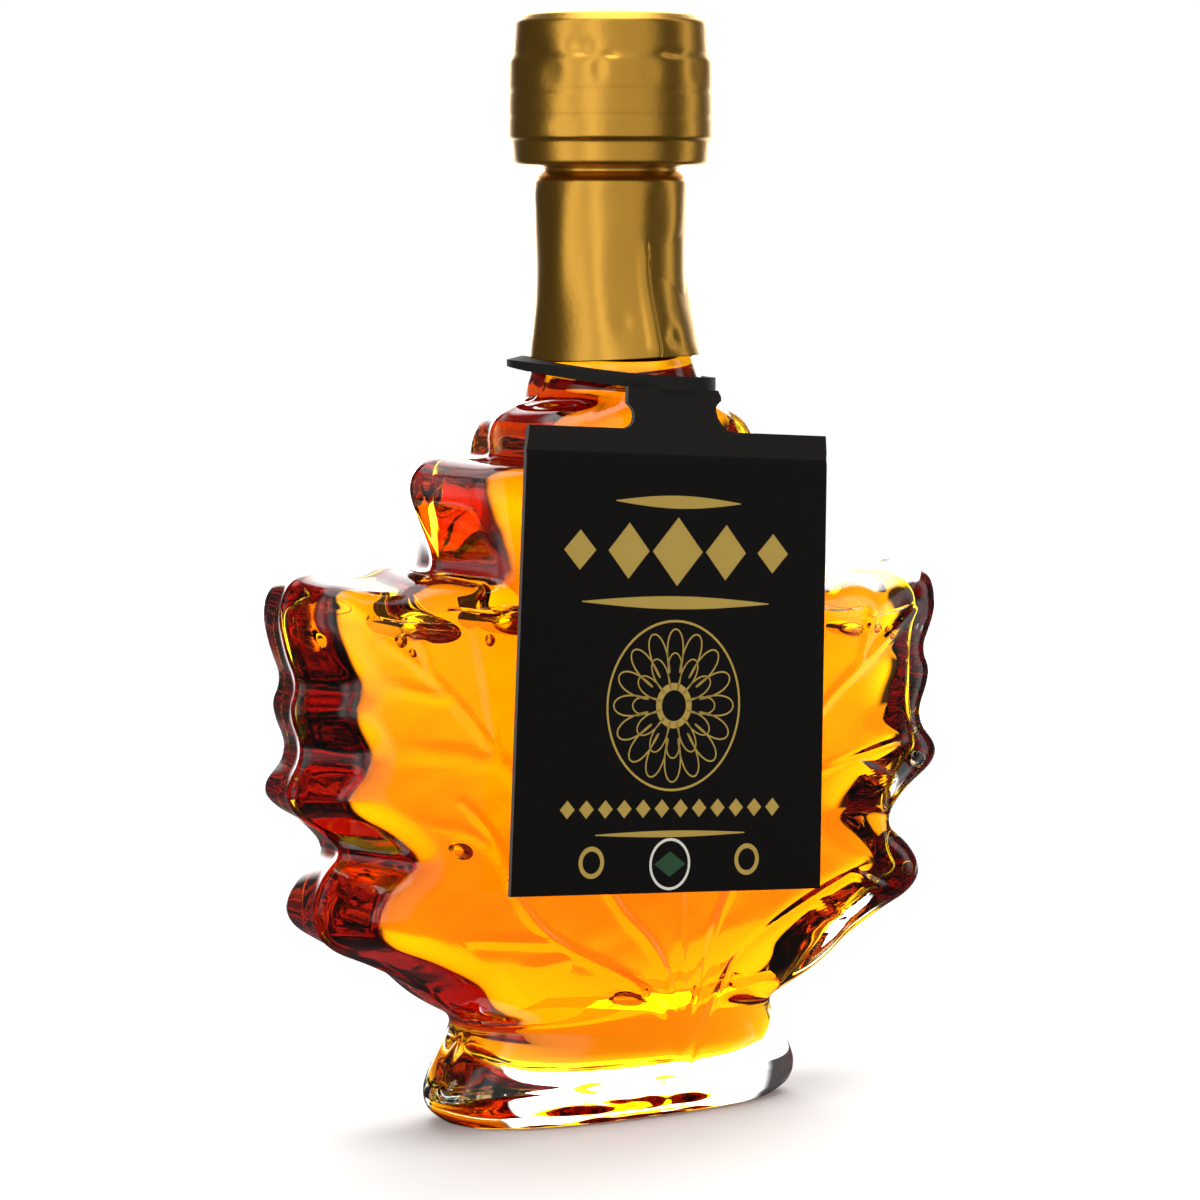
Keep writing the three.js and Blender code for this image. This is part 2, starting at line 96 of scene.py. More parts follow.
# Shares of a quarter section where the side wall and the round edge end, and steps of wall, edge and face
WALL_SHARE, EDGE_SHARE = 1 / 6, 1 / 2
WALL_CROWDING = 1.6
FRONT_STEPS, BACK_STEPS = (5, 12, 72), (4, 8, 28)
# Waves of the outer and inner skin: length, seed of the directions, share of the height
WAVE_COUNT = 7
OUTER_WAVES = ((17, 3, 1), (6.5, 4, 0.5))
INNER_WAVES = ((19, 11, 1), (9, 12, 0.6))
# Heights over which the waves start and end, outside and inside
OUTER_START, OUTER_END, INNER_START, INNER_END = (1, 6), (90, 96), (6, 10), (88, 94)
# Mould seam: height and width of its ridge, and the heights where it starts
SEAM_RIDGE, SEAM_WIDTH, SEAM_START = 0.22, 0.3, (3, 12)
# Chilled, uneven glass under the foot: length, seed and height of its bumps
BUMP_LENGTH, BUMP_SEED, BUMP_HEIGHT = 4.5, 8, 0.9
# Shares of the foot's width over which the bumps start, and where they have ended
BUMP_START, BUMP_END = (0.1, 0.3), 0.98
# Push-up of the underside: its height, its share of the foot's width and the shares of its rings
PUSH_HEIGHT, PUSH_SHARE = 3.0, 0.9
PUSH_RINGS = np.concatenate([np.linspace(0.06, PUSH_SHARE, 20), [0.95, 0.97, 0.985]])[:, None]

# Veins on the front: heights between which they stand, how squarely the face has to look forwards, how
# low and over which last part they fade, then x, z places from the root outwards
VEIN_HEIGHTS, VEIN_FACING, VEIN_END, VEIN_FADE = (3, 66), (0.55, 0.9), 0.35, 0.3
VEINS = [
    [(2.4, 4.6), (2.3, 9.4), (1.3, 20.3), (0.8, 31), (0.4, 52)],
    [(2.3, 7.5), (1.2, 13), (-3.3, 21.9), (-10.5, 29.3), (-21, 46)],
    [(2.2, 7), (0.2, 12.4), (-7.6, 18.5), (-18.5, 24), (-24.4, 30), (-28.7, 37.6), (-37, 40)],
    [(2.5, 7.5), (2.8, 12.5), (5.6, 21.1), (8.5, 27.7), (17, 44)],
    [(2.4, 6.5), (7.8, 15.6), (11.3, 20.5), (22.8, 26.4), (33, 29.8)],
    [(-17, 35), (-25.9, 46.3), (-36.2, 58.3), (-42.7, 62.7)],
    [(14, 40), (24.5, 50.4), (31.7, 55.4), (43.4, 62.6)],
    [(-26, 46.5), (-34.1, 48.8), (-41.5, 49.7)],
    [(24.4, 42.5), (30.4, 43.9), (39.8, 45.6)],
    [(-25.2, 33), (-28.5, 38.8), (-32.5, 42.6)],
    [(30.4, 43.6), (39, 39.7)],
    [(30.8, 28.8), (36.3, 26)],
    [(22.8, 26.4), (29.2, 23.4)],
    [(-18.5, 24), (-27.3, 25), (-32.7, 25.4)],
    [(-16.9, 21.7), (-23.1, 21.1)],
    [(-36.4, 58.6), (-37.8, 63.1)],
    [(-34.7, 55.4), (-41.9, 57.2)],
    [(-27.2, 48.4), (-29.7, 63.6)],
    [(31.7, 55.4), (36, 63.9)],
]

# Air caught in the syrup: rows and columns, then centre, half sizes, lean and how flat front and back are
POCKET_ROWS, POCKET_COLUMNS = 30, 56
AIR_POCKETS = (
    ((-33.6, -0.6, 63.4), (4.6, 6.6, 1.7), 0.16, 0.2),
    ((-20.0, -0.6, 63.9), (4.6, 7.2, 1.9), -0.04, 0.2),
    ((-25.8, -7.0, 61.8), (0.8, 0.7, 0.8), 0, 1),
    ((-37.8, -4.9, 62.2), (0.9, 0.8, 1.0), 0, 1),
    ((-36.4, -5.6, 60.6), (0.7, 0.6, 0.7), 0, 1),
    ((-30.4, -6.8, 36.0), (1.7, 1.2, 1.1), 0.3, 0.6),
    ((-11.2, -5.2, 77.4), (1.2, 1.3, 1.2), 0.2, 0.6),
    ((-13.6, -4.4, 77.2), (0.8, 0.8, 0.8), 0, 1),
    ((-4.4, -7.2, 15.6), (3.0, 1.3, 1.1), 0.12, 0.6),
    ((34.0, -2.0, 59.8), (2.6, 4.4, 1.0), 0.1, 0.4),
    ((38.4, -4.2, 59.8), (1.0, 0.8, 0.8), 0, 1),
    ((41.0, -3.8, 59.2), (0.8, 0.7, 0.7), 0, 1),
)

# Gold capsule: radius and height down its outside, then up its inside
SLEEVE_TOP, SLEEVE_BOTTOM = 118.4, 96.1
CAPSULE_OUTSIDE = [[0, 140.2], [9.6, 140.1], [11.4, 139.5], [12.3, 138.5], [12.5, 134.7], [13, 133.6],
                   [13.1, 130.3], [12.95, 129.9], [13.1, 129.4], [13.15, 127], [13, 126.6], [13.15, 126.2],
                   [13.15, 124], [12.7, 123.5], [12.5, 120.9], [12.2, 120.5], [8.7, 120.3], [8.6, 119.6],
                   [9.4, 119], [9.8, 118.4], [9.7, 115], [9.7, 108], [9.8, 103], [10.1, 99], [10.5, 96.1]]
CAPSULE_INSIDE = [[10.35, 96.1], [9.9, 98.6], [9.56, 103], [9.53, 117.6], [8.2, 119.4], [8.1, 121],
                  [8.1, 137.7], [0, 137.7]]
CAPSULE_COLUMNS = 288
OUTSIDE_SPACING, OUTSIDE_ROUNDING, INSIDE_SPACING = 0.22, 2, 1.5
# Sleeve's rim: slant of the cut and its height, flare on the right and its height
CUT_SLANT, CUT_HEIGHT, RIM_FLARE, FLARE_HEIGHT = 0.55, 3, 0.3, 11
# Sleeve's wrinkles: share, waves round the neck, turn with height and start
WRINKLES = ((0.5, 3, 0.25, 0), (0.4, 7, -0.3, 1), (0.3, 11, 0, 2))
SLEEVE_LOW, SLEEVE_HIGH = (95, 98), (116.5, 118.5)
# Fold of the sleeve: how far it stands out, the heights where it ends and the turns where it rises and falls
FOLD_RISE, FOLD_TOP, FOLD_START, FOLD_END = 0.42, (108, 112), (0.30, 0.44), (0.49, 0.53)
# Dents of the film: turn from the camera's side, height, depth, width in radians and height of the bell
DENTS = (
    (1.15, 108.2, 0.5, 0.30, 2.6), (0.10, 101, 0.22, 0.07, 1.0), (0.75, 98.8, 0.22, 0.07, 1.0),
    (0.70, 102, -0.12, 0.10, 2.2),
    (-0.31, 135.0, 0.38, 0.09, 0.9), (0.0, 134.2, 0.26, 0.06, 0.4), (0.64, 134.4, 0.3, 0.08, 0.4),
    (-0.9, 134.0, 0.4, 0.16, 1.6), (-0.62, 132.2, 0.22, 0.1, 1.4), (-0.12, 132.6, 0.16, 0.05, 1.2),
    (0.36, 132.0, 0.12, 0.07, 1.0), (1.0, 132.4, 0.2, 0.12, 1.2), (-0.45, 125.2, 0.16, 0.12, 0.8),
    (0.2, 125.4, 0.12, 0.1, 0.6), (2.2, 134.0, 0.3, 0.15, 1.0), (-2.3, 133.0, 0.3, 0.2, 1.2),
)

# Direction from the bottle to the camera, and the picture's right, seen from above
VIEW_TURN = math.radians(37.9)
TOWARDS_CAMERA = np.array([-math.sin(VIEW_TURN), -math.cos(VIEW_TURN)])
PICTURE_RIGHT = np.array([math.cos(VIEW_TURN), -math.sin(VIEW_TURN)])

# Hang tag: sizes in millimetres, the middle of its crease, slopes of panel and band, roll in radians
CARD_THICKNESS = 0.6
CREASE_WIDTH = 48.3
CREASE_CENTRE = (0, -13.5, 84.3)
PANEL_LENGTH = 55
PANEL_BOTTOM_WIDTH = 49.8
PANEL_TILT, BAND_TILT, TAG_ROLL = 0.035, 0.03, -0.06
BAND_HEIGHT, BAND_TAPER = 3, 0.3
TAG_NECK_OFFSET, TAG_NECK_TOP = -0.9, 8.2
# Pressed crease: depth and width. Rings of panel, crease and neck, and points across the card
CREASE_DEPTH, CREASE_SOFTNESS, CREASE_REACH = 0.12, 0.35, 1.1
PANEL_RINGS, CREASE_RINGS, NECK_RINGS, NECK_CROWDING, CARD_POINTS = 60, 12, 30, 1.3, 25
# Edges of the narrow neck: height over the band and place across, with the slot's end on the left
NECK_LEFT = [(0, -9.0), (0.1, -8.5), (0.35, -8.0), (0.8, -7.6), (1.5, -7.45), (2.2, -7.6), (2.7, -8.0),
             (3.1, -8.6), (5.2, -8.6)]
NECK_RIGHT = [(0, 8.5), (0.1, 7.9), (0.35, 7.3), (0.9, 6.6), (1.8, 5.9), (2.9, 5.5), (3.4, 5.8), (3.9, 6.4),
              (4.5, 6.3), (5.2, 5.8)]
# Strap: inner radius and its stretch to the front, width behind and in front, then the height of its middle,
# its fall and bow towards the loose side, the droop of its outer edge behind and how tall it is in front
STRAP_RADIUS, STRAP_REACH, STRAP_WIDTH, STRAP_THICKNESS = 11.35, 1.18, 2.2, 0.8
STRAP_HEIGHT, STRAP_SLOPE, STRAP_BOW, STRAP_DROOP, STRAP_TALL = 93.9, 1.5, 0.5, 0.6, 1.8
LOOSE_SIDE = (0.79, -0.61)
STRAP_COLUMNS = 168
# Corners of the strap's section, as shares of its width and height
STRAP_SECTION = np.array([(0, 0), (0.12, 0), (0.88, 0), (1, 0), (1, 0.25), (1, 0.75), (1, 1), (0.88, 1),
                          (0.12, 1), (0, 1), (0, 0.75), (0, 0.25)])
# Print: how deep it reaches into the card, and the angle from which an edge is sharp
INK_ROOT, SHARP_ANGLE = 0.05, 40
# How far the rosette's petals lean over into loops
PETAL_LEAN = 1.4
# Steps along a rule and a lozenge, and round a ring and a petal
RULE_STEPS, LOZENGE_STEPS, RING_STEPS, PETAL_STEPS = 41, 9, 64, 36
RULE_END, LOZENGE_END = 0.12, 0.02


def linear(hexadecimal):
    """sRGB hex colour as linear red, green, blue and full alpha."""
    values = np.array([int(hexadecimal[i:i + 2], 16) for i in (1, 3, 5)]) / 255
    return (*np.where(values <= 0.04045, values / 12.92, ((values + 0.055) / 1.055) ** 2.4), 1.0)


def smoothstep(value, low, high):
    """0 below low, 1 above high, and 3s^2 - 2s^3 between them."""
    share = np.clip((value - low) / (high - low), 0, 1)
    return share * share * (3 - 2 * share)


def rounded_interp(places, pairs):
    """Straight-line value of [place, value] pairs, averaged over DEPTH_ROUNDING each way with the weights
    1 + cos of the share, so that no crease is left."""
    pairs = np.array(pairs, float)
    shares = np.linspace(-1, 1, DEPTH_STEPS)[1:-1]
    weights = 1 + np.cos(np.pi * shares)
    values = [np.interp(places + share * DEPTH_ROUNDING, pairs[:, 0], pairs[:, 1]) for share in shares]
    return np.tensordot(weights / weights.sum(), np.array(values), 1)


def averaged(rows, passes, where=True):
    """Rows after so many passes of (1, 2, 1) / 4, the first and the last kept, only where asked."""
    for _ in range(passes):
        mean = rows.copy()
        mean[1:-1] = (rows[:-2] + 2 * rows[1:-1] + rows[2:]) / 4
        rows = np.where(where, mean, rows)
    return rows


def smooth_rows(rows, steps):
    """Quadratic B-spline through rows: each hull row is (8 row - hull before - hull after) / 6, and each
    piece runs from one hull midpoint to the next as (1-w)^2 a + 2w(1-w) b + w^2 c."""
    rows = np.asarray(rows, float)
    hull = rows.copy()
    for _ in range(HULL_PASSES):
        hull[1:-1] = (8 * rows[1:-1] - hull[:-2] - hull[2:]) / 6
    before = (hull[:-2] + hull[1:-1]) / 2
    before[0] = hull[0]
    after = (hull[1:-1] + hull[2:]) / 2
    after[-1] = hull[-1]
    w = ((np.arange(steps) + 0.5) / steps)[None, :, None]
    curve = (1 - w) ** 2 * before[:, None] + 2 * w * (1 - w) * hull[1:-1, None] + w * w * after[:, None]
    return np.concatenate([rows[:1], curve.reshape(-1, rows.shape[1]), rows[-1:]])


def refined(rows):
    """Twice as many rows, each new one (-1, 9, 9, -1) / 16 of its neighbours."""
    padded = np.concatenate([2 * rows[:1] - rows[1:2], rows, 2 * rows[-1:] - rows[-2:-1]])
    middle = (9 * (padded[1:-2] + padded[2:-1]) - padded[:-3] - padded[3:]) / 16
    both = np.empty((len(rows) + len(middle), rows.shape[1]))
    both[0::2] = rows
    both[1::2] = middle
    return both


def spine_heights(outline):
    """Height of the matching point on the centre line: its own in the foot, by arc length in the leaf."""
    steps = np.hypot(*np.diff(outline[:, :2], axis=0).T)
    in_leaf = (outline[1:, 1] > WAIST_HEIGHT) | (outline[:-1, 1] > WAIST_HEIGHT)
    lengths = np.concatenate([[0], np.cumsum(steps * in_leaf)])
    heights = WAIST_HEIGHT + (COLLAR_HEIGHT - WAIST_HEIGHT) * lengths / lengths[-1]
    return np.where(lengths == 0, outline[:, 1], heights)


def inward(outline, spread):
    """Unit directions into the glass, square to the chord that spans spread rows each way."""
    rows = np.arange(len(outline))
    chord = outline[np.minimum(rows + spread, len(outline) - 1)] - outline[np.maximum(rows - spread, 0)]
    return np.stack([-chord[:, 1], chord[:, 0]], 1) / np.hypot(*chord.T)[:, None]


def spread_inward(edge, spread):
    """Steps into the glass, as shares of the edge rounding. Where the moved edge would run back on itself at
    the tip of a lobe, it is averaged (1, 2, 1) / 4 until it runs on, so that rows of the face don't cross."""
    moved = edge + EDGE_ROUNDING * inward(edge, spread)
    run = np.gradient(edge, axis=0)
    along = (np.gradient(moved, axis=0) * run).sum(1) / np.maximum((run * run).sum(1), 1e-9)
    tight = np.convolve(along < TIP_TIGHT, np.ones(2 * TIP_REACH + 1), "same") > 0
    return (averaged(moved, TIP_PASSES, tight[:, None]) - edge) / EDGE_ROUNDING


def face_depth(x, z):
    """Half depth of the domed face: edge depth plus the dome's rise times 1 - (x / half width)^2."""
    edge = rounded_interp(z, EDGE_DEPTH)
    shoulder = LEAF_HALF_WIDTH + (SHOULDER_HALF_WIDTH - LEAF_HALF_WIDTH) * smoothstep(z, *SHOULDER_HEIGHTS)
    half_width = shoulder + (TOP_HALF_WIDTH - shoulder) * smoothstep(z, *TOP_HEIGHTS)
    return edge + (rounded_interp(z, CENTRE_DEPTH) - edge) * np.maximum(0, 1 - (x / half_width) ** 2)


def leaf_rows(outline, thinning, spread):
    """Section rows of the leaf: outline, centre-line height, half depth there and inward direction."""
    spine = spine_heights(outline)
    depth = np.interp(spine, *np.array(CENTRE_DEPTH).T) - thinning
    return {"outline": outline, "spine": spine, "depth": depth,
            "inward": spread_inward(outline[:, :2], spread)}


def round_rows(rings):
    """Section rows that are plain ovals: half width, height and half depth."""
    rings = np.array(rings, float)
    outline = rings[:, [0, 1, 0, 1]]
    return {"outline": outline, "spine": rings[:, 1], "depth": rings[:, 2],
            "inward": np.tile([-1.0, 0.0], (len(rings), 1))}


def stacked(*groups):
    """Section rows of several groups, one above the other."""
    return {key: np.concatenate([group[key] for group in groups]) for key in groups[0]}


def glass_rows():
    """Section rows of the outside: foot and leaf, then neck."""
    neck = round_rows([(radius, z, radius) for radius, z in NECK_PROFILE])
    return stacked(leaf_rows(smooth_rows(BODY_OUTLINE, OUTLINE_STEPS), 0, round(OUTLINE_STEPS * 2 / 3)), neck)


def hollow_rows(extra, top_height):
    """Section rows of the hollow: the leaf moved in by the wall plus extra and smoothed (1, 2, 1) / 4."""
    samples = smooth_rows(BODY_OUTLINE, 2)
    samples = samples[samples[:, 3] >= WAIST_HEIGHT - 0.1]
    wall = SIDE_WALL + extra
    moved = samples + wall * np.concatenate([inward(samples[:, :2], 1), inward(samples[:, 2:], 1)], 1)
    foot = round_rows([(x - extra, z + extra, depth - extra) for x, z, depth in HOLLOW_FOOT])
    bore = BORE_RADIUS - extra
    throat = [(bore + flare, COLLAR_HEIGHT + rise, bore + flare) for flare, rise in HOLLOW_THROAT]
    neck = round_rows([*throat, (bore, top_height, bore)])
    return stacked(foot, leaf_rows(refined(averaged(moved, HOLLOW_SMOOTHING)), FACE_WALL + extra, 2), neck)


def quarter_section(rows, across, inset):
    """Points x, y, z of a quarter of each section, from the seam at 0 to the centre line at 1: an oval with
    powers of sine and cosine in foot and neck; in the leaf a straight wall, a parabola round the edge and
    the domed face; the two mixed by a smooth step where they meet."""
    a = across[None, :]
    face_x, face_z, seam_x, seam_z = (rows["outline"][:, k, None] for k in range(4))
    spine, depth = rows["spine"][:, None], rows["depth"][:, None]
    angle = a * np.pi / 2
    power = np.where(spine < WAIST_HEIGHT + BLEND_HEIGHT, FOOT_POWER, 1)
    lean = np.cos(angle) ** power
    oval = np.stack([seam_x * lean, depth * np.sin(angle) ** power, spine + (seam_z - spine) * lean], -1)
    blend = smoothstep(spine, WAIST_HEIGHT, WAIST_HEIGHT + BLEND_HEIGHT)
    blend = blend * (1 - smoothstep(spine, COLLAR_HEIGHT - BLEND_HEIGHT, COLLAR_HEIGHT))
    edge_y = face_depth(face_x, face_z) - inset
    in_x = face_x + EDGE_ROUNDING * rows["inward"][:, 0, None]
    in_z = face_z + EDGE_ROUNDING * rows["inward"][:, 1, None]
    wall = 1 - EDGE_ROUNDING / edge_y
    seam = np.stack([seam_x, 0 * seam_x, seam_z], -1)
    corner = np.stack([face_x, edge_y, face_z], -1)
    low = seam + (corner - seam) * wall[..., None]
    high = np.stack([in_x, face_depth(in_x, in_z) - inset, in_z], -1)
    on_wall = (a / WALL_SHARE)[..., None]
    leaf = seam + (low - seam) * on_wall
    t = ((a - WALL_SHARE) / (EDGE_SHARE - WALL_SHARE))[..., None]
    edge = (1 - t) ** 2 * low + 2 * t * (1 - t) * corner + t * t * high
    leaf = np.where(a[..., None] >= WALL_SHARE, edge, leaf)
    on_face = (a - EDGE_SHARE) / (1 - EDGE_SHARE)
    x = in_x * (1 - on_face)
    z = in_z + (spine - in_z) * on_face
    face = np.stack([x, face_depth(x, z) - inset, z], -1)
    leaf = np.where(a[..., None] >= EDGE_SHARE, face, leaf)
    return oval + (leaf - oval) * blend[..., None]


def uneven(points):
    """Points with the right lobe lowered and the leaf's tip standing out on the front of the neck."""
    x, y, z = np.moveaxis(points, -1, 0)
    sideways = smoothstep(x, *LOBE_START) * (1 + (LOBE_TIP_SHARE - 1) * smoothstep(x, *LOBE_TIP))
    lobe = sideways * smoothstep(z, *LOBE_LOW) * (1 - smoothstep(z, *LOBE_HIGH))
    tip = (y < 0) * TIP_RISE * smoothstep(z, *TIP_LOW) * (1 - smoothstep(z, *TIP_HIGH))
    return np.stack([x, y * (1 + tip / TIP_DEPTH), z - LOBE_DROP * lobe], -1)


def across_places(wall_steps, edge_steps, face_steps):
    """Places across a quarter section from seam to centre line, closer together near the seam."""
    wall = WALL_SHARE * (np.arange(wall_steps) / wall_steps) ** WALL_CROWDING
    edge = np.linspace(WALL_SHARE, EDGE_SHARE, edge_steps, endpoint=False)
    face = np.linspace(EDGE_SHARE, 1, face_steps + 1)
    return np.concatenate([wall, edge, face])


def body_grid(rows, inset):
    """Rings of points round the whole body: right back, left back, left front, right front quarters."""
    near, far = (quarter_section(rows, across_places(*steps), inset) for steps in (FRONT_STEPS, BACK_STEPS))
    turns = [far, far[:, ::-1] * (-1, 1, 1), near * (-1, -1, 1), near[:, ::-1] * (1, -1, 1)]
    return uneven(np.concatenate([turn[:, :-1] for turn in turns], 1))


def plane_waves(points, length, seed):
    """Smooth noise of about that length: the mean of cosines along seeded directions, from -1 to 1."""
    rng = np.random.default_rng(seed)
    directions = rng.normal(size=(WAVE_COUNT, 3))
    directions *= (2 * np.pi / length) / np.linalg.norm(directions, axis=1, keepdims=True)
    directions *= rng.uniform(0.6, 1.6, (WAVE_COUNT, 1))
    phases = rng.uniform(0, 2 * np.pi, WAVE_COUNT)
    return np.cos(points @ directions.T + phases).mean(-1) * math.sqrt(WAVE_COUNT) / 2


def unevenness(points, waves):
    """Sum of plane waves, each with its length, seed and share."""
    return sum(share * plane_waves(points, length, seed) for length, seed, share in waves)


def grid_normals(points):
    """Unit normals of a grid that closes round its rings, from the cross product of its differences."""
    round_way = np.roll(points, -1, 1) - np.roll(points, 1, 1)
    up_way = np.gradient(points, axis=0)
    normals = np.cross(round_way, up_way)
    return normals / np.maximum(np.linalg.norm(normals, axis=-1, keepdims=True), 1e-9)


def ring_faces(rows, columns):
    """Quads between rings, facing out where rings run anticlockwise seen from above and go upwards."""
    at = np.arange(rows * columns).reshape(rows, columns)
    beside = np.roll(at, -1, 1)
    return np.stack([at[:-1], beside[:-1], beside[1:], at[1:]], -1).reshape(-1, 4)


def closed_body(rings, first_pole, last_pole):
    """Vertices and faces of stacked rings, each end closed by a fan to its pole."""
    rows, columns = rings.shape[:2]
    vertices = np.concatenate([rings.reshape(-1, 3), [first_pole, last_pole]])
    round_way = np.arange(columns)
    beside = np.roll(round_way, -1)
    top = (rows - 1) * columns
    low_fan = np.stack([beside, round_way, np.full(columns, rows * columns)], 1)
    high_fan = np.stack([top + round_way, top + beside, np.full(columns, rows * columns + 1)], 1)
    return vertices, [*ring_faces(rows, columns).tolist(), *low_fan.tolist(), *high_fan.tolist()]


def looped_body(rings):
    """Vertices and faces of rings that end where they began, facing out where the points of a ring run
    clockwise as seen from the ring before it."""
    at = np.arange(rings.shape[0] * rings.shape[1]).reshape(rings.shape[:2])
    along, beside = np.roll(at, -1, 0), np.roll(at, -1, 1)
    faces = np.stack([at, beside, np.roll(along, -1, 1), along], -1).reshape(-1, 4)
    return rings.reshape(-1, 3), faces


def add_object(name, vertices, faces, materials, sharp_angle=None):
    """New mesh object from millimetre vertices, riding on the part's body, smooth but for sharp edges."""
    mesh = bpy.data.meshes.new(name)
    mesh.from_pydata((np.asarray(vertices) * MM).tolist(), [], faces)
    mesh.polygons.foreach_set("use_smooth", np.ones(len(mesh.polygons), bool))
    if sharp_angle is not None:
        mesh.set_sharp_from_angle(angle=math.radians(sharp_angle))
    for material in materials:
        mesh.materials.append(material)
    mesh.update()
    piece = bpy.data.objects.new(name, mesh)
    bpy.context.scene.collection.objects.link(piece)
    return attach(piece, "root")


def joined(shapes):
    """Vertices and faces of several shapes as one."""
    vertices, faces, count = [], [], 0
    for points, corners in shapes:
        vertices.append(points)
        faces.extend([[count + corner for corner in face] for face in corners])
        count += len(points)
    return np.concatenate(vertices), faces


def new_material(name):
    """Empty node material: its tree and its output node."""
    material = bpy.data.materials.new(name)
    material.use_nodes = True
    material.node_tree.nodes.clear()
    return material, add_node(material.node_tree, "ShaderNodeOutputMaterial")


def add_node(tree, kind, settings=None, inputs=None, **named):
    """Node of a kind with its settings and its inputs, by place or by name with _ for a blank. An input is
    given a value, or linked to an output or to a node's first output."""
    node = tree.nodes.new(kind)
    for key, value in (settings or {}).items():
        setattr(node, key, value)
    named = {key.replace("_", " "): value for key, value in named.items()}
    for key, value in {**named, **(inputs or {})}.items():
        if isinstance(value, bpy.types.Node):
            value = value.outputs[0]
        if isinstance(value, bpy.types.NodeSocket):
            tree.links.new(value, node.inputs[key])
        else:
            node.inputs[key].default_value = value
    return node


def flint_glass(settings):
    """Soda-lime flint glass, blown in a polished mould: colourless, sharp reflections, faint milling lines on
    the side walls that pull the light into streaks."""
    material, output = new_material("flint_glass")
    tree = material.node_tree
    place = add_node(tree, "ShaderNodeTexCoord").outputs["Object"]
    streak_scale = 1 / (settings.streak_spacing * settings.streak_stretch)
    stretched = add_node(tree, "ShaderNodeMapping", Vector=place,
                         Scale=(settings.streak_stretch, 1, settings.streak_stretch))
    streaks = add_node(tree, "ShaderNodeTexNoise", Vector=stretched, Scale=streak_scale, Detail=3.0,
                       Roughness=0.6)
    normal = add_node(tree, "ShaderNodeNewGeometry").outputs["Normal"]
    parts = add_node(tree, "ShaderNodeSeparateXYZ", Vector=normal)
    facing = add_node(tree, "ShaderNodeMath", {"operation": "ABSOLUTE"}, {0: parts.outputs["Y"]})
    on_walls = add_node(tree, "ShaderNodeMapRange", {"interpolation_type": "SMOOTHSTEP"}, Value=facing,
                        From_Min=0.75, From_Max=0.35)
    bump = add_node(tree, "ShaderNodeBump", Height=streaks.outputs["Fac"], Strength=on_walls,
                    Distance=settings.streak_depth)
    shader = add_node(tree, "ShaderNodeBsdfPrincipled", Normal=bump, Base_Color=linear(settings.colour),
                      Transmission_Weight=1.0, IOR=settings.ior, Roughness=settings.roughness)
    tree.links.new(shader.outputs["BSDF"], output.inputs["Surface"])
    return material


def wetted_glass(settings):
    """Inner wall of the glass where syrup wets it: the light only crosses from 1.50 to 1.46, so the wall all
    but disappears and nothing shines there."""
    material, output = new_material("wetted_flint_glass")
    shader = add_node(material.node_tree, "ShaderNodeBsdfPrincipled", Base_Color=(1, 1, 1, 1),
                      Transmission_Weight=1.0, IOR=settings.wetted_ior, Roughness=0.0)
    material.node_tree.links.new(shader.outputs["BSDF"], output.inputs["Surface"])
    return material


def amber_syrup(settings):
    """Filtered boiled-down sap: a clear liquid that swallows blue at once, green in a few centimetres and red
    hardly at all, so thin places are yellow, the face amber and the long way through dark red."""
    material, output = new_material("amber_syrup")
    tree = material.node_tree
    beside_air = add_node(tree, "ShaderNodeAttribute", {"attribute_name": "beside_air"}).outputs["Fac"]
    ior = add_node(tree, "ShaderNodeMapRange", Value=beside_air, To_Min=settings.wall_ior,
                   To_Max=settings.air_ior)
    shader = add_node(tree, "ShaderNodeBsdfPrincipled", IOR=ior, Base_Color=linear(settings.colour),
                      Transmission_Weight=1.0, Roughness=0.0)
    tree.links.new(shader.outputs["BSDF"], output.inputs["Surface"])
    volume = add_node(tree, "ShaderNodeVolumeAbsorption", Color=(*settings.passed, 1),
                      Density=settings.density)
    tree.links.new(volume.outputs["Volume"], output.inputs["Volume"])
    return material


def gold_film(settings):
    """Metallised heat-shrink film: satin gold with soft highlights, a fine orange peel from the shrinking."""
    material, output = new_material("metallised_gold_film")
    tree = material.node_tree
    place = add_node(tree, "ShaderNodeTexCoord").outputs["Object"]
    peel = add_node(tree, "ShaderNodeTexNoise", Vector=place, Scale=1 / settings.peel_spacing, Detail=2.0)
    bump = add_node(tree, "ShaderNodeBump", Height=peel.outputs["Fac"], Strength=1.0,
                    Distance=settings.peel_depth)
    shader = add_node(tree, "ShaderNodeBsdfPrincipled", Normal=bump, Base_Color=linear(settings.colour),
                      Metallic=1.0, Roughness=settings.roughness)
    tree.links.new(shader.outputs["BSDF"], output.inputs["Surface"])
    return material


def card_stock(name, colour, roughness, settings):
    """Black solid-dyed card: matt, with a fine fibre grain."""
    material, output = new_material(name)
    tree = material.node_tree
    place = add_node(tree, "ShaderNodeTexCoord").outputs["Object"]
    fibres = add_node(tree, "ShaderNodeTexNoise", Vector=place, Scale=1 / settings.fibre_spacing, Detail=4.0,
                      Roughness=0.7)
    bump = add_node(tree, "ShaderNodeBump", Height=fibres.outputs["Fac"], Strength=1.0,
                    Distance=settings.fibre_depth)
    shader = add_node(tree, "ShaderNodeBsdfPrincipled", Normal=bump, Base_Color=linear(colour),
                      Roughness=roughness, Specular_IOR_Level=settings.card_sheen)
    tree.links.new(shader.outputs["BSDF"], output.inputs["Surface"])
    return material


def plain_ink(name, colour, metallic, roughness):
    """Printing ink or stamped foil: one even colour."""
    material, output = new_material(name)
    shader = add_node(material.node_tree, "ShaderNodeBsdfPrincipled", Base_Color=linear(colour),
                      Metallic=metallic, Roughness=roughness)
    material.node_tree.links.new(shader.outputs["BSDF"], output.inputs["Surface"])
    return material


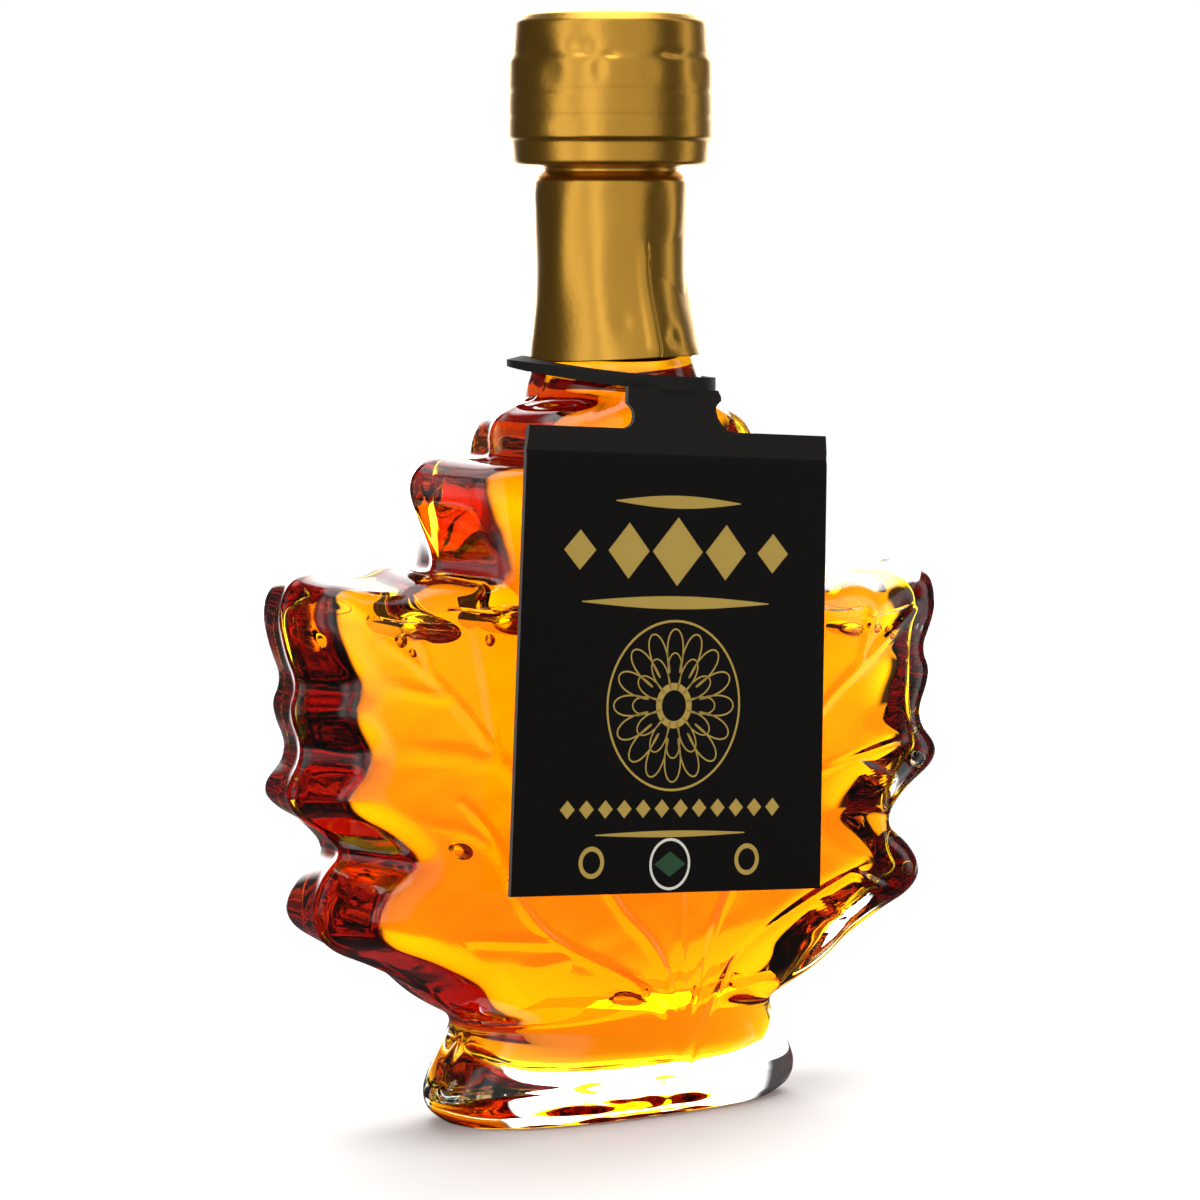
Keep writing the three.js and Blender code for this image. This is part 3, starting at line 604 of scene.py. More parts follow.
def length_property(name, description, default, **limits):
    """Millimetre size as a Blender length."""
    return bpy.props.FloatProperty(name=name, description=description, default=default * MM, unit="LENGTH",
                                   subtype="DISTANCE", precision=6, **limits)


def colour_property(name, description, default):
    """sRGB hex colour as text."""
    return bpy.props.StringProperty(name=name, description=description, default=default)


def number_property(name, description, default):
    """Plain number, share or ratio."""
    return bpy.props.FloatProperty(name=name, description=description, default=default, precision=4)


class GlassSettings(bpy.types.PropertyGroup):
    """Glass, its streaks, veins and ripple"""

    colour: colour_property("Glass colour", "Tint of the clear glass", "#FFFFFD")
    ior: number_property("Refraction", "Index of refraction of the glass against air", 1.5)
    wetted_ior: number_property("Wetted refraction", "Index of the glass against the syrup", 1.03)
    roughness: number_property("Roughness", "Polish of the outer skin", 0.0)
    streak_spacing: length_property("Streak spacing", "Distance between milling lines on the side walls", 1.4)
    streak_stretch: number_property("Streak stretch", "How much longer than wide a streak is", 14.0)
    streak_depth: length_property("Streak depth", "Depth of the milling lines", 0.012)
    vein_height: length_property("Vein height", "How far a vein stands out of the face", 0.3)
    vein_width: length_property("Vein width", "Half width of a vein's bell curve", 0.38)
    ripple: length_property("Ripple", "Unevenness of the outer skin", 0.05)
    inner_ripple: length_property("Inner ripple", "Unevenness of the inner wall", 0.11)


class SyrupSettings(bpy.types.PropertyGroup):
    """Syrup and its skin"""

    colour: colour_property("Syrup colour", "Colour of a thin layer of the syrup", "#FFDF30")
    passed: bpy.props.FloatVectorProperty(
        name="Colour passed", description="Share of red, green and blue that the absorption spares",
        default=(0.93, 0.79, 0.2), subtype="COLOR", size=3)
    density: number_property("Density", "Strength of the absorption per metre", 400.0)
    wall_ior: number_property("Wall refraction", "Step in refraction at the skin inside the glass", 1.0)
    air_ior: number_property("Air refraction", "Index of refraction of the syrup against air", 1.46)
    overlap: length_property("Overlap", "How far the syrup reaches into the wall", 0.15)


class CapsuleSettings(bpy.types.PropertyGroup):
    """Gold film and its wrinkles"""

    colour: colour_property("Film colour", "Gold of the metallised film", "#CE9A3E")
    roughness: number_property("Roughness", "Satin of the film", 0.3)
    peel_spacing: length_property("Peel spacing", "Size of the orange peel", 0.8)
    peel_depth: length_property("Peel depth", "Depth of the orange peel", 0.02)
    wrinkle: length_property("Wrinkle", "Depth of the shrink wrinkles", 0.11)


class TagSettings(bpy.types.PropertyGroup):
    """Card, its print and fibres"""

    card_colour: colour_property("Card colour", "Bare black card of the band and strap", "#1E1C1B")
    panel_colour: colour_property("Panel colour", "Printed black of the panel", "#0C0A09")
    edge_colour: colour_property("Edge colour", "Cut edge of the card", "#5A5450")
    ink_colour: colour_property("Gold colour", "Gold of the print", "#C8A850")
    green_colour: colour_property("Green colour", "Green of the small emblem", "#1F4A2C")
    card_sheen: number_property("Card sheen", "Strength of its reflection, 0.5 being plain varnish", 0.16)
    pale_colour: colour_property("Pale colour", "Off-white of the small emblem", "#D8D4C8")
    fibre_spacing: length_property("Fibre spacing", "Distance between fibres of the card", 0.35)
    fibre_depth: length_property("Fibre depth", "Depth of the fibre grain", 0.02)
    ink_height: length_property("Ink height", "How far the print stands off the card", 0.03)


class StageSettings(bpy.types.PropertyGroup):
    """Floor and camera"""

    floor_colour: colour_property("Floor colour", "Pale matt floor", "#F2F1EF")
    # Painted reflection: the floor as glossy rays see it, darker than its own colour
    painted_reflection_colour: colour_property("Mirrored floor", "Floor as reflections show it", "#3A3A3A")
    # Painted glow: the floor itself gives off light to rays that come through the glass; no lamp is under the
    # table
    painted_floor_glow: number_property("Floor glow", "Light from under the table that the glass gathers", 0.6)
    floor_radius: length_property("Floor radius", "Where the floor has faded out", 360)
    camera_place: bpy.props.FloatVectorProperty(
        name="Camera place", description="Where the camera stands", size=3, unit="LENGTH",
        subtype="TRANSLATION", default=(-0.4195, -0.5363, 0.119))
    camera_turn: bpy.props.FloatProperty(name="Camera turn", description="Heading to the right of +Y",
                                         default=math.radians(37.914), subtype="ANGLE", unit="ROTATION")
    camera_pitch: bpy.props.FloatProperty(name="Camera pitch", description="Angle below the horizon",
                                          default=math.radians(4.526), subtype="ANGLE", unit="ROTATION")
    lens: number_property("Lens", "Focal length on a 36 mm sensor, in millimetres", 160.4)


def mm(value):
    """Length property in millimetres."""
    return value / MM


def distance_to_line(x, z, line):
    """Distance of points to a line of places, and the share of the way along it of the nearest point."""
    line = np.array(line, float)
    lengths = np.concatenate([[0], np.cumsum(np.hypot(*np.diff(line, axis=0).T))])
    best = np.full(x.shape, 1e9)
    share = np.zeros(x.shape)
    for k, (start, end) in enumerate(zip(line[:-1], line[1:])):
        along = end - start
        t = np.clip(((x - start[0]) * along[0] + (z - start[1]) * along[1]) / (along @ along), 0, 1)
        gap = np.hypot(x - start[0] - t * along[0], z - start[1] - t * along[1])
        nearer = gap < best
        best = np.where(nearer, gap, best)
        share = np.where(nearer, (lengths[k] + t * (lengths[k + 1] - lengths[k])) / lengths[-1], share)
    return best, share


def vein_rise(x, z, height, width):
    """Height of the veins: for each a bell curve of the distance to it, its height fading over its last part;
    the tallest counts."""
    rise = np.zeros(x.shape)
    for line in VEINS:
        smooth = smooth_rows(line, 6) if len(line) > 2 else np.array(line, float)
        gap, share = distance_to_line(x, z, smooth)
        fade = VEIN_END + (1 - VEIN_END) * smoothstep(1 - share, 0, VEIN_FADE)
        rise = np.maximum(rise, height * fade * np.exp(-(gap / width) ** 2 / 2))
    return rise


def outer_glass(settings):
    """Rings of the outside with ripple and a seam ridge along the normals, and veins on the front. Under the
    foot its first ring shrinks to a point, raised by the push-up 1 - share^2 and by uneven bumps."""
    rings = body_grid(glass_rows(), 0)
    normals = grid_normals(rings)
    spots = PUSH_RINGS[..., None] * rings[0]
    bumps = BUMP_HEIGHT * (0.5 + 0.5 * np.clip(plane_waves(spots, BUMP_LENGTH, BUMP_SEED), -1, 1))
    bumps *= smoothstep(PUSH_RINGS, *BUMP_START) * (1 - smoothstep(PUSH_RINGS, PUSH_SHARE, BUMP_END))
    spots[..., 2] = bumps + PUSH_HEIGHT * (1 - np.minimum(PUSH_RINGS / PUSH_SHARE, 1) ** 2)
    x, y, z = np.moveaxis(rings, -1, 0)
    seam = SEAM_RIDGE * np.exp(-(y / SEAM_WIDTH) ** 2 / 2) * smoothstep(z, *SEAM_START)
    in_leaf = smoothstep(z, *OUTER_START) * (1 - smoothstep(z, *OUTER_END))
    rise = (mm(settings.ripple) * unevenness(rings, OUTER_WAVES) + seam) * in_leaf
    rings = rings + normals * rise[..., None]
    front = (y < 0) & (z > VEIN_HEIGHTS[0]) & (z < VEIN_HEIGHTS[1])
    veins = np.zeros(x.shape)
    veins[front] = vein_rise(x[front], z[front], mm(settings.vein_height), mm(settings.vein_width))
    rings[..., 1] -= veins * smoothstep(-normals[..., 1], *VEIN_FACING)
    return np.concatenate([spots, rings])


def inner_glass(settings, extra, top_height):
    """Rings of the hollow's wall, rippled as blown glass is."""
    rings = body_grid(hollow_rows(extra, top_height), FACE_WALL + extra)
    z = rings[..., 2]
    ripple = mm(settings.inner_ripple) * unevenness(rings, INNER_WAVES)
    ripple = ripple * smoothstep(z, *INNER_START) * (1 - smoothstep(z, *INNER_END))
    return rings + grid_normals(rings) * ripple[..., None]


def wetted_faces(mesh, columns, first):
    """1 for each face of the hollow's wall from the vertex first on that starts under the fill height, and
    for the last fan, which is the hollow's floor."""
    places = np.empty(len(mesh.vertices) * 3)
    corners = np.empty(len(mesh.loops), np.int32)
    starts = np.empty(len(mesh.polygons), np.int32)
    mesh.vertices.foreach_get("co", places)
    mesh.loops.foreach_get("vertex_index", corners)
    mesh.polygons.foreach_get("loop_start", starts)
    heights = places[2::3][corners[starts]] / MM
    inside = np.minimum(corners[starts], corners[starts + 1]) >= first
    wet = (inside & (heights < FILL_HEIGHT)).astype(np.int32)
    wet[-columns:] = 1
    return wet


class BOTTLE_OT_glass(bpy.types.Operator):
    """Builds the glass bottle with its hollow"""

    bl_idname = "bottle.glass"
    bl_label = "Glass bottle"

    def execute(self, context):
        settings = context.scene.bottle_glass
        outer = outer_glass(settings)
        inner = inner_glass(settings, 0, MOUTH_HEIGHT)[::-1]
        rings = np.concatenate([outer, inner])
        shape = closed_body(rings, [0, 0, PUSH_HEIGHT], [0, 0, HOLLOW_FOOT[0][1]])
        piece = add_object("leaf_bottle", *shape, [flint_glass(settings), wetted_glass(settings)])
        wet = wetted_faces(piece.data, rings.shape[1], len(outer) * rings.shape[1])
        piece.data.polygons.foreach_set("material_index", wet)
        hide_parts("bottle")
        return {"FINISHED"}


def air_pocket(centre, radii, lean, flatness):
    """Closed ellipsoid that faces inwards, as the liquid's skin does there: cosine and sine of latitude and
    longitude times the radii, the depth's share raised to flatness so that front and back are windows."""
    latitude = np.linspace(-np.pi / 2, np.pi / 2, POCKET_ROWS + 2)[1:-1, None]
    longitude = np.linspace(0, 2 * np.pi, POCKET_COLUMNS, endpoint=False)
    depth = np.cos(latitude) * np.sin(longitude)
    x = radii[0] * np.cos(latitude) * np.cos(longitude)
    y = radii[1] * np.sign(depth) * np.abs(depth) ** flatness
    z = radii[2] * np.sin(latitude) + 0 * longitude
    cosine, sine = math.cos(lean), math.sin(lean)
    leant = np.stack([x * cosine + z * sine, y, z * cosine - x * sine], -1)
    pole = np.array([sine, 0, cosine]) * radii[2]
    vertices, faces = closed_body(leant + np.array(centre), centre - pole, centre + pole)
    return vertices, [face[::-1] for face in faces]


class BOTTLE_OT_syrup(bpy.types.Operator):
    """Fills the hollow with syrup up to the neck, with the air caught in it left out"""

    bl_idname = "bottle.syrup"
    bl_label = "Syrup"

    def execute(self, context):
        scene = context.scene
        extra = -mm(scene.bottle_syrup.overlap)
        rings = inner_glass(scene.bottle_glass, extra, FILL_HEIGHT)
        body = closed_body(rings, [0, 0, rings[0, 0, 2]], [0, 0, FILL_HEIGHT])
        vertices, faces = joined([body, *(air_pocket(*row) for row in AIR_POCKETS)])
        piece = add_object("syrup_fill", vertices, faces, [amber_syrup(scene.bottle_syrup)])
        beside_air = piece.data.attributes.new("beside_air", "FLOAT", "POINT")
        beside_air.data.foreach_set("value", (np.arange(len(vertices)) >= len(body[0])).astype(float))
        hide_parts("syrup")
        return {"FINISHED"}


def view_angle(x, y):
    """Angle round the neck from the camera's side, to the right in the picture."""
    across = x * PICTURE_RIGHT[0] + y * PICTURE_RIGHT[1]
    near = x * TOWARDS_CAMERA[0] + y * TOWARDS_CAMERA[1]
    return np.arctan2(across, near)


def resampled(profile, spacing):
    """Profile with points every spacing or closer, its own corners kept."""
    profile = np.array(profile, float)
    points = [profile[:1]]
    for start, end in zip(profile[:-1], profile[1:]):
        count = max(1, math.ceil(np.hypot(*(end - start)) / spacing))
        shares = (np.arange(count) + 1)[:, None] / count
        points.append(start + (end - start) * shares)
    return np.concatenate(points)


def rounded_profile(profile, spacing, passes):
    """Resampled profile with its corners rounded by averaging passes, its ends kept."""
    return averaged(resampled(profile, spacing), passes)


def bump_at(angle, z, angle0, z0, width, height):
    """Bell curve round a place on the capsule, width in radians and height in millimetres."""
    return np.exp(-((angle - angle0) / width) ** 2 / 2 - ((z - z0) / height) ** 2 / 2)


def film_relief(angle, z, wrinkle):
    """Sum of the sleeve's wrinkles as cosines of angle and height, its fold as a step that rises and falls,
    less the dents as bell curves, in millimetres outwards."""
    sleeve = smoothstep(z, *SLEEVE_LOW) * (1 - smoothstep(z, *SLEEVE_HIGH))
    waves = sum(share * np.cos(count * angle + turn * z + start) for share, count, turn, start in WRINKLES)
    fold = FOLD_RISE * (1 - smoothstep(z, *FOLD_TOP)) * smoothstep(angle, *FOLD_START)
    rise = (wrinkle * waves + fold * (1 - smoothstep(angle, *FOLD_END))) * sleeve
    for turn, height, depth, width, tall in DENTS:
        rise -= depth * bump_at(angle, z, turn, height, width, tall)
    return rise


class BOTTLE_OT_capsule(bpy.types.Operator):
    """Builds the gold capsule over the closure and the neck"""

    bl_idname = "bottle.capsule"
    bl_label = "Gold capsule"

    def execute(self, context):
        settings = context.scene.bottle_capsule
        outside = rounded_profile(CAPSULE_OUTSIDE, OUTSIDE_SPACING, OUTSIDE_ROUNDING)
        inside = resampled(CAPSULE_INSIDE, INSIDE_SPACING)
        profile = np.concatenate([outside[1:], inside[:-1]])[::-1]
        turn = np.linspace(0, 2 * np.pi, CAPSULE_COLUMNS, endpoint=False)
        radius, z = profile[:, :1], np.repeat(profile[:, 1:], len(turn), 1)
        x, y = radius * np.cos(turn), radius * np.sin(turn)
        angle = view_angle(x, y)
        outer = np.arange(len(profile))[:, None] >= len(inside) - 1
        relief = np.where(outer, film_relief(angle, z, mm(settings.wrinkle)), 0)
        grown = (radius + relief) / radius
        side = np.sin(angle)
        low = 1 - smoothstep(z, SLEEVE_BOTTOM, SLEEVE_BOTTOM + FLARE_HEIGHT)
        grown = grown * (1 + RIM_FLARE * low * np.maximum(0, side) ** 3 / radius)
        z = z + CUT_SLANT * side * (1 - smoothstep(z, SLEEVE_BOTTOM, SLEEVE_BOTTOM + CUT_HEIGHT))
        rings = np.stack([x * grown, y * grown, z], -1)
        rings = np.where(z[..., None] < SLEEVE_TOP - 1, uneven(rings), rings)
        shape = closed_body(rings, [0, 0, CAPSULE_INSIDE[-1][1]], [0, 0, CAPSULE_OUTSIDE[0][1]])
        piece = add_object("gold_capsule", *shape, [gold_film(settings)])
        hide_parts("capsule")
        return {"FINISHED"}


def tag_place(x, y, depth):
    """Millimetre place of a point of the card: x to the right and y up from the crease, depth out of it."""
    tilt = np.where(y < 0, PANEL_TILT, BAND_TILT)
    score = CREASE_DEPTH * np.exp(-(y / CREASE_SOFTNESS) ** 2 / 2)
    out = depth - tilt * y - score
    roll_x = x * math.cos(TAG_ROLL) - y * math.sin(TAG_ROLL)
    roll_y = x * math.sin(TAG_ROLL) + y * math.cos(TAG_ROLL)
    return np.stack([CREASE_CENTRE[0] + roll_x, CREASE_CENTRE[1] - out, CREASE_CENTRE[2] + roll_y], -1)


def card_edges(y):
    """Left and right edge of the card at a height over the crease, with round corners at the narrow neck."""
    share = np.clip(-y / PANEL_LENGTH, 0, 1)
    half = (CREASE_WIDTH + (PANEL_BOTTOM_WIDTH - CREASE_WIDTH) * share) / 2
    half = np.where(y > 0, CREASE_WIDTH / 2 - BAND_TAPER * y / BAND_HEIGHT, half)
    over_band = y > BAND_HEIGHT + 1e-6
    left, right = (np.interp(y - BAND_HEIGHT, *np.array(side).T) for side in (NECK_LEFT, NECK_RIGHT))
    return np.where(over_band, left, -half), np.where(over_band, right, half)


def card_body():
    """Closed card: at each height a flat ring of points, left to right on the front and back on the back."""
    panel = np.linspace(-PANEL_LENGTH, -1.2, PANEL_RINGS)
    crease = np.linspace(-CREASE_REACH, CREASE_REACH, CREASE_RINGS)
    band = [1.6, 2.4, BAND_HEIGHT, BAND_HEIGHT + 2e-6]
    neck = BAND_HEIGHT + (TAG_NECK_TOP - BAND_HEIGHT) * np.linspace(0.01, 1, NECK_RINGS) ** NECK_CROWDING
    heights = np.concatenate([panel, crease, band, neck])
    left, right = (edge[:, None] for edge in card_edges(heights))
    front_x = left + (right - left) * np.linspace(0, 1, CARD_POINTS)
    both_x = np.concatenate([front_x, front_x[:, ::-1]], 1)
    depth = np.repeat([CARD_THICKNESS, 0], CARD_POINTS)
    rings = tag_place(both_x, np.broadcast_to(heights[:, None], both_x.shape), depth)
    middle = [tag_place(np.array(x), np.array(y), CARD_THICKNESS / 2)
              for x, y in ((0.0, heights[0]), (TAG_NECK_OFFSET, heights[-1]))]
    return closed_body(rings, *middle)


def strap_body():
    """Closed ring round the neck: its section lies flat behind and stands up towards the front, its height
    falls and bows with the place from side to side."""
    angle = np.linspace(0, 2 * np.pi, STRAP_COLUMNS, endpoint=False)[:, None]
    out, up = STRAP_SECTION.T[:, None]
    front = 0.5 - 0.5 * np.sin(angle)
    side = np.cos(angle) * LOOSE_SIDE[0] + np.sin(angle) * LOOSE_SIDE[1]
    wide = STRAP_WIDTH + (STRAP_THICKNESS - STRAP_WIDTH) * front
    tall = CARD_THICKNESS + (STRAP_TALL - CARD_THICKNESS) * front
    radius = STRAP_RADIUS + out * wide
    base = STRAP_HEIGHT - STRAP_SLOPE * side + STRAP_BOW * side * side - STRAP_DROOP * (1 - front) * out
    reach = np.where(np.sin(angle) < 0, STRAP_REACH, 1)
    rings = np.stack([radius * np.cos(angle), reach * radius * np.sin(angle), base + (up - 0.5) * tall], -1)
    vertices, faces = looped_body(rings)
    return vertices, faces[:, ::-1].tolist()


class BOTTLE_OT_tag(bpy.types.Operator):
    """Builds the black card hang tag and the strap that holds it on the neck"""

    bl_idname = "bottle.tag"
    bl_label = "Hang tag"

    def execute(self, context):
        settings = context.scene.bottle_tag
        bare = card_stock("bare_black_card", settings.card_colour, 0.75, settings)
        printed = card_stock("printed_black_card", settings.panel_colour, 0.42, settings)
        edge = card_stock("cut_card_edge", settings.edge_colour, 0.9, settings)
        card = add_object("tag_card", *card_body(), [bare, printed, edge], sharp_angle=SHARP_ANGLE)
        normals, centres = np.empty((2, len(card.data.polygons) * 3))
        card.data.polygons.foreach_get("normal", normals)
        card.data.polygons.foreach_get("center", centres)
        normals, centres = normals.reshape(-1, 3), centres.reshape(-1, 3) / MM
        crease = CREASE_CENTRE[2] + (centres[:, 0] - CREASE_CENTRE[0]) * math.tan(TAG_ROLL)
        slots = np.where(np.abs(normals[:, 1]) < 0.5, 2, np.where(centres[:, 2] < crease - 0.2, 1, 0))
        card.data.polygons.foreach_set("material_index", slots)
        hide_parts("tag")
        strap = add_object("tag_strap", *strap_body(), [bare], sharp_angle=SHARP_ANGLE)
        return {"FINISHED"}


def stroke(x, y, width, height, closed=False):
    """Printed line: a rectangle section carried along a path on the card, standing height off it."""
    x, y = np.asarray(x, float), np.asarray(y, float)
    if closed:
        dx, dy = np.roll(x, -1) - np.roll(x, 1), np.roll(y, -1) - np.roll(y, 1)
    else:
        dx, dy = np.gradient(x), np.gradient(y)
    length = np.maximum(np.hypot(dx, dy), 1e-9)
    half = np.broadcast_to(width, x.shape) / 2
    nx, ny = -dy / length * half, dx / length * half
    low, high = CARD_THICKNESS - INK_ROOT, CARD_THICKNESS + height
    corners = [(nx, ny, low), (nx, ny, high), (-nx, -ny, high), (-nx, -ny, low)]
    rings = np.stack([tag_place(x + a, y + b, np.full(x.shape, depth)) for a, b, depth in corners], 1)
    if not closed:
        return closed_body(rings, rings[0].mean(0), rings[-1].mean(0))
    vertices, faces = looped_body(rings)
    return vertices, faces.tolist()


def swelled_rule(x0, y0, width, thickness, height):
    """Rule that swells from thin ends to a thick middle as a half sine."""
    s = np.linspace(0, 1, RULE_STEPS)
    swell = RULE_END + thickness * np.sin(np.pi * s)
    return stroke(x0 + (s - 0.5) * width, np.full(RULE_STEPS, y0), swell, height)


def lozenge(x0, y0, width, tall, height):
    """Lozenge: a stroke whose width grows to tall at the middle and back."""
    s = np.linspace(0, 1, LOZENGE_STEPS)
    swell = np.maximum(LOZENGE_END, tall * (1 - np.abs(2 * s - 1)))
    return stroke(x0 + (s - 0.5) * width, np.full(LOZENGE_STEPS, y0), swell, height)


def ring(x0, y0, radius, width, height):
    """Round line: radius times cosine and sine."""
    t = np.linspace(0, 2 * np.pi, RING_STEPS, endpoint=False)
    return stroke(x0 + radius * np.cos(t), y0 + radius * np.sin(t), width, height, closed=True)


def rosette(x0, y0, radius, petals, swing, width, height):
    """Fine line rosette: radius (1 - swing + swing cos(petals t)) at angle
    t + PETAL_LEAN sin(petals t) / petals."""
    t = np.linspace(0, 2 * np.pi, petals * PETAL_STEPS, endpoint=False)
    r = radius * (1 - swing + swing * np.cos(petals * t))
    turn = t + PETAL_LEAN * np.sin(petals * t) / petals
    return stroke(x0 + r * np.cos(turn), y0 + r * np.sin(turn), width, height, closed=True)


# Ornament in the order of its making: shape, x and y from the middle of the crease, then the shape's sizes
GOLD_ORNAMENT = (
    (swelled_rule, 0, -6.0, 20, 1.5), (swelled_rule, 0, -18.6, 30, 1.5),
    (lozenge, -15.5, -12.2, 5, 5), (lozenge, -7.8, -12.2, 6.5, 7), (lozenge, 0, -12.2, 8, 8.6),
    (lozenge, 7.8, -12.2, 6.5, 7), (lozenge, 15.5, -12.2, 5, 5),
    (rosette, 0, -31.5, 9.6, 16, 0.28, 0.2), (rosette, 0, -31.5, 6.6, 12, 0.34, 0.18),
    (ring, 0, -31.5, 2.4, 0.9), (ring, 0, -31.5, 10.6, 0.3),
    *((lozenge, x, -44.4, 2.3, 2.3) for x in np.linspace(-16.5, 16.5, 12)),
    (swelled_rule, 0, -47.6, 24, 0.7), (ring, -12.5, -51.0, 1.7, 0.6), (ring, 12.5, -51.0, 1.7, 0.6),
)
GREEN_ORNAMENT = ((lozenge, 0, -51.4, 5, 3.2),)
PALE_ORNAMENT = ((ring, 0, -51.4, 3.1, 0.35),)


class BOTTLE_OT_print(bpy.types.Operator):
    """Prints the plain gold ornament on the tag"""

    bl_idname = "bottle.tag_print"
    bl_label = "Tag print"

    def execute(self, context):
        settings = context.scene.bottle_tag
        height = mm(settings.ink_height)
        gold = plain_ink("gold_ink", settings.ink_colour, 0.35, 0.45)
        green = plain_ink("green_ink", settings.green_colour, 0, 0.5)
        pale = plain_ink("pale_ink", settings.pale_colour, 0, 0.5)
        for name, ink, ornament in (("tag_gold_print", gold, GOLD_ORNAMENT),
                                    ("tag_green_print", green, GREEN_ORNAMENT),
                                    ("tag_pale_print", pale, PALE_ORNAMENT)):
            shape = joined([kind(*numbers, height) for kind, *numbers in ornament])
            add_object(name, *shape, [ink], sharp_angle=SHARP_ANGLE)
        return {"FINISHED"}


# Studio, as azimuth to the right of the camera's heading, half width, elevation, half height, edge, strength
SOFT_PANELS = (
    (4, 30, 25.5, 32, 8, 2.0),
    (4, 30, 10, 50, 7, 2.6),
    (-158, 10, 10, 50, 6, 0.9),
    (188, 62, 5, 50, 8, 0.62),
    (79, 7, 10, 50, 4, 1.2),
    (-124, 9, 5, 50, 8, 0.9),
    (0, 181, 78, 16, 8, 3.2),
)
ROOM_LIGHT = 0.08
PLAIN_BACKGROUND = 1.0
# Floor: columns and rings, how far its sheet lies under the foot, and where it starts to fade
FLOOR_COLUMNS, FLOOR_RINGS, FLOOR_DROP, FADE_START = 96, 10, 0.00005, 0.4
SENSOR_WIDTH = 36
# Light zigzags down the length of the leaf and crosses four skins on each pass
MOST_BOUNCES = 26


def studio_world(settings):
    """World light: a dim room with soft-edged rectangular panels, each the product of a smooth step of the
    azimuth from its middle and one of the elevation."""
    world = bpy.data.worlds.new("soft_studio")
    bpy.context.scene.world = world
    world.use_nodes = True
    tree = world.node_tree
    tree.nodes.clear()
    direction = add_node(tree, "ShaderNodeTexCoord").outputs["Generated"]
    turned = add_node(tree, "ShaderNodeVectorRotate", {"rotation_type": "Z_AXIS"}, Vector=direction,
                      Angle=settings.camera_turn)
    parts = add_node(tree, "ShaderNodeSeparateXYZ", Vector=turned)
    azimuth = add_node(tree, "ShaderNodeMath", {"operation": "ARCTAN2"},
                       {0: parts.outputs["X"], 1: parts.outputs["Y"]})
    elevation = add_node(tree, "ShaderNodeMath", {"operation": "ARCSINE"}, {0: parts.outputs["Z"]})
    total = ROOM_LIGHT
    for turn, half_width, height, half_height, edge, strength in SOFT_PANELS:
        masks = []
        for source, middle, half in ((azimuth, turn, half_width), (elevation, height, half_height)):
            away = add_node(tree, "ShaderNodeMath", {"operation": "SUBTRACT"},
                            {0: source, 1: math.radians(middle)})
            wrapped = add_node(tree, "ShaderNodeMath", {"operation": "WRAP"},
                               {0: away, 1: math.pi, 2: -math.pi})
            gap = add_node(tree, "ShaderNodeMath", {"operation": "ABSOLUTE"}, {0: wrapped})
            masks.append(add_node(tree, "ShaderNodeMapRange", {"interpolation_type": "SMOOTHSTEP"}, Value=gap,
                                  From_Min=math.radians(half + edge), From_Max=math.radians(half - edge)))
        both = add_node(tree, "ShaderNodeMath", {"operation": "MULTIPLY"}, {0: masks[0], 1: masks[1]})
        total = add_node(tree, "ShaderNodeMath", {"operation": "MULTIPLY_ADD"},
                         {0: both, 1: strength, 2: total})
    seen = add_node(tree, "ShaderNodeLightPath").outputs["Is Camera Ray"]
    strength = add_node(tree, "ShaderNodeMix", Factor=seen, A=total, B=PLAIN_BACKGROUND)
    light = add_node(tree, "ShaderNodeBackground", Strength=strength, Color=(1, 1, 1, 1))
    output = add_node(tree, "ShaderNodeOutputWorld")
    tree.links.new(light.outputs["Background"], output.inputs["Surface"])


def matt_floor(settings):
    """Pale matt table top that fades out into the plain background all round. Mirrored rays find it darker, a
    painted darker reflection, and rays that come through the glass find it giving off light, a painted glow
    with no lamp behind it."""
    material, output = new_material("pale_floor")
    tree = material.node_tree
    place = add_node(tree, "ShaderNodeTexCoord").outputs["Object"]
    away = add_node(tree, "ShaderNodeVectorMath", {"operation": "LENGTH"}, {0: place})
    near = add_node(tree, "ShaderNodeMapRange", {"interpolation_type": "SMOOTHSTEP"},
                    Value=away.outputs["Value"], From_Min=settings.floor_radius,
                    From_Max=settings.floor_radius * FADE_START)
    path = add_node(tree, "ShaderNodeLightPath")
    # Painted reflection: glossy rays that do not pass through the glass see the floor in the darker colour
    mirrored = add_node(tree, "ShaderNodeMath", {"operation": "SUBTRACT", "use_clamp": True},
                        {0: path.outputs["Is Glossy Ray"], 1: path.outputs["Is Transmission Ray"]})
    # Inputs 6 and 7 and output 2 of this node are its colours
    colour = add_node(tree, "ShaderNodeMix", {"data_type": "RGBA"},
                      {6: linear(settings.floor_colour), 7: linear(settings.painted_reflection_colour)},
                      Factor=mirrored)
    # Painted glow: the floor gives off light only to rays that come through the glass
    glow = add_node(tree, "ShaderNodeMapRange", Value=path.outputs["Is Transmission Ray"],
                    To_Max=settings.painted_floor_glow)
    shader = add_node(tree, "ShaderNodeBsdfPrincipled", Alpha=near, Base_Color=colour.outputs[2],
                      Emission_Strength=glow, Roughness=0.9, Specular_IOR_Level=0.1,
                      Emission_Color=(1, 1, 1, 1))
    tree.links.new(shader.outputs["BSDF"], output.inputs["Surface"])
    return material


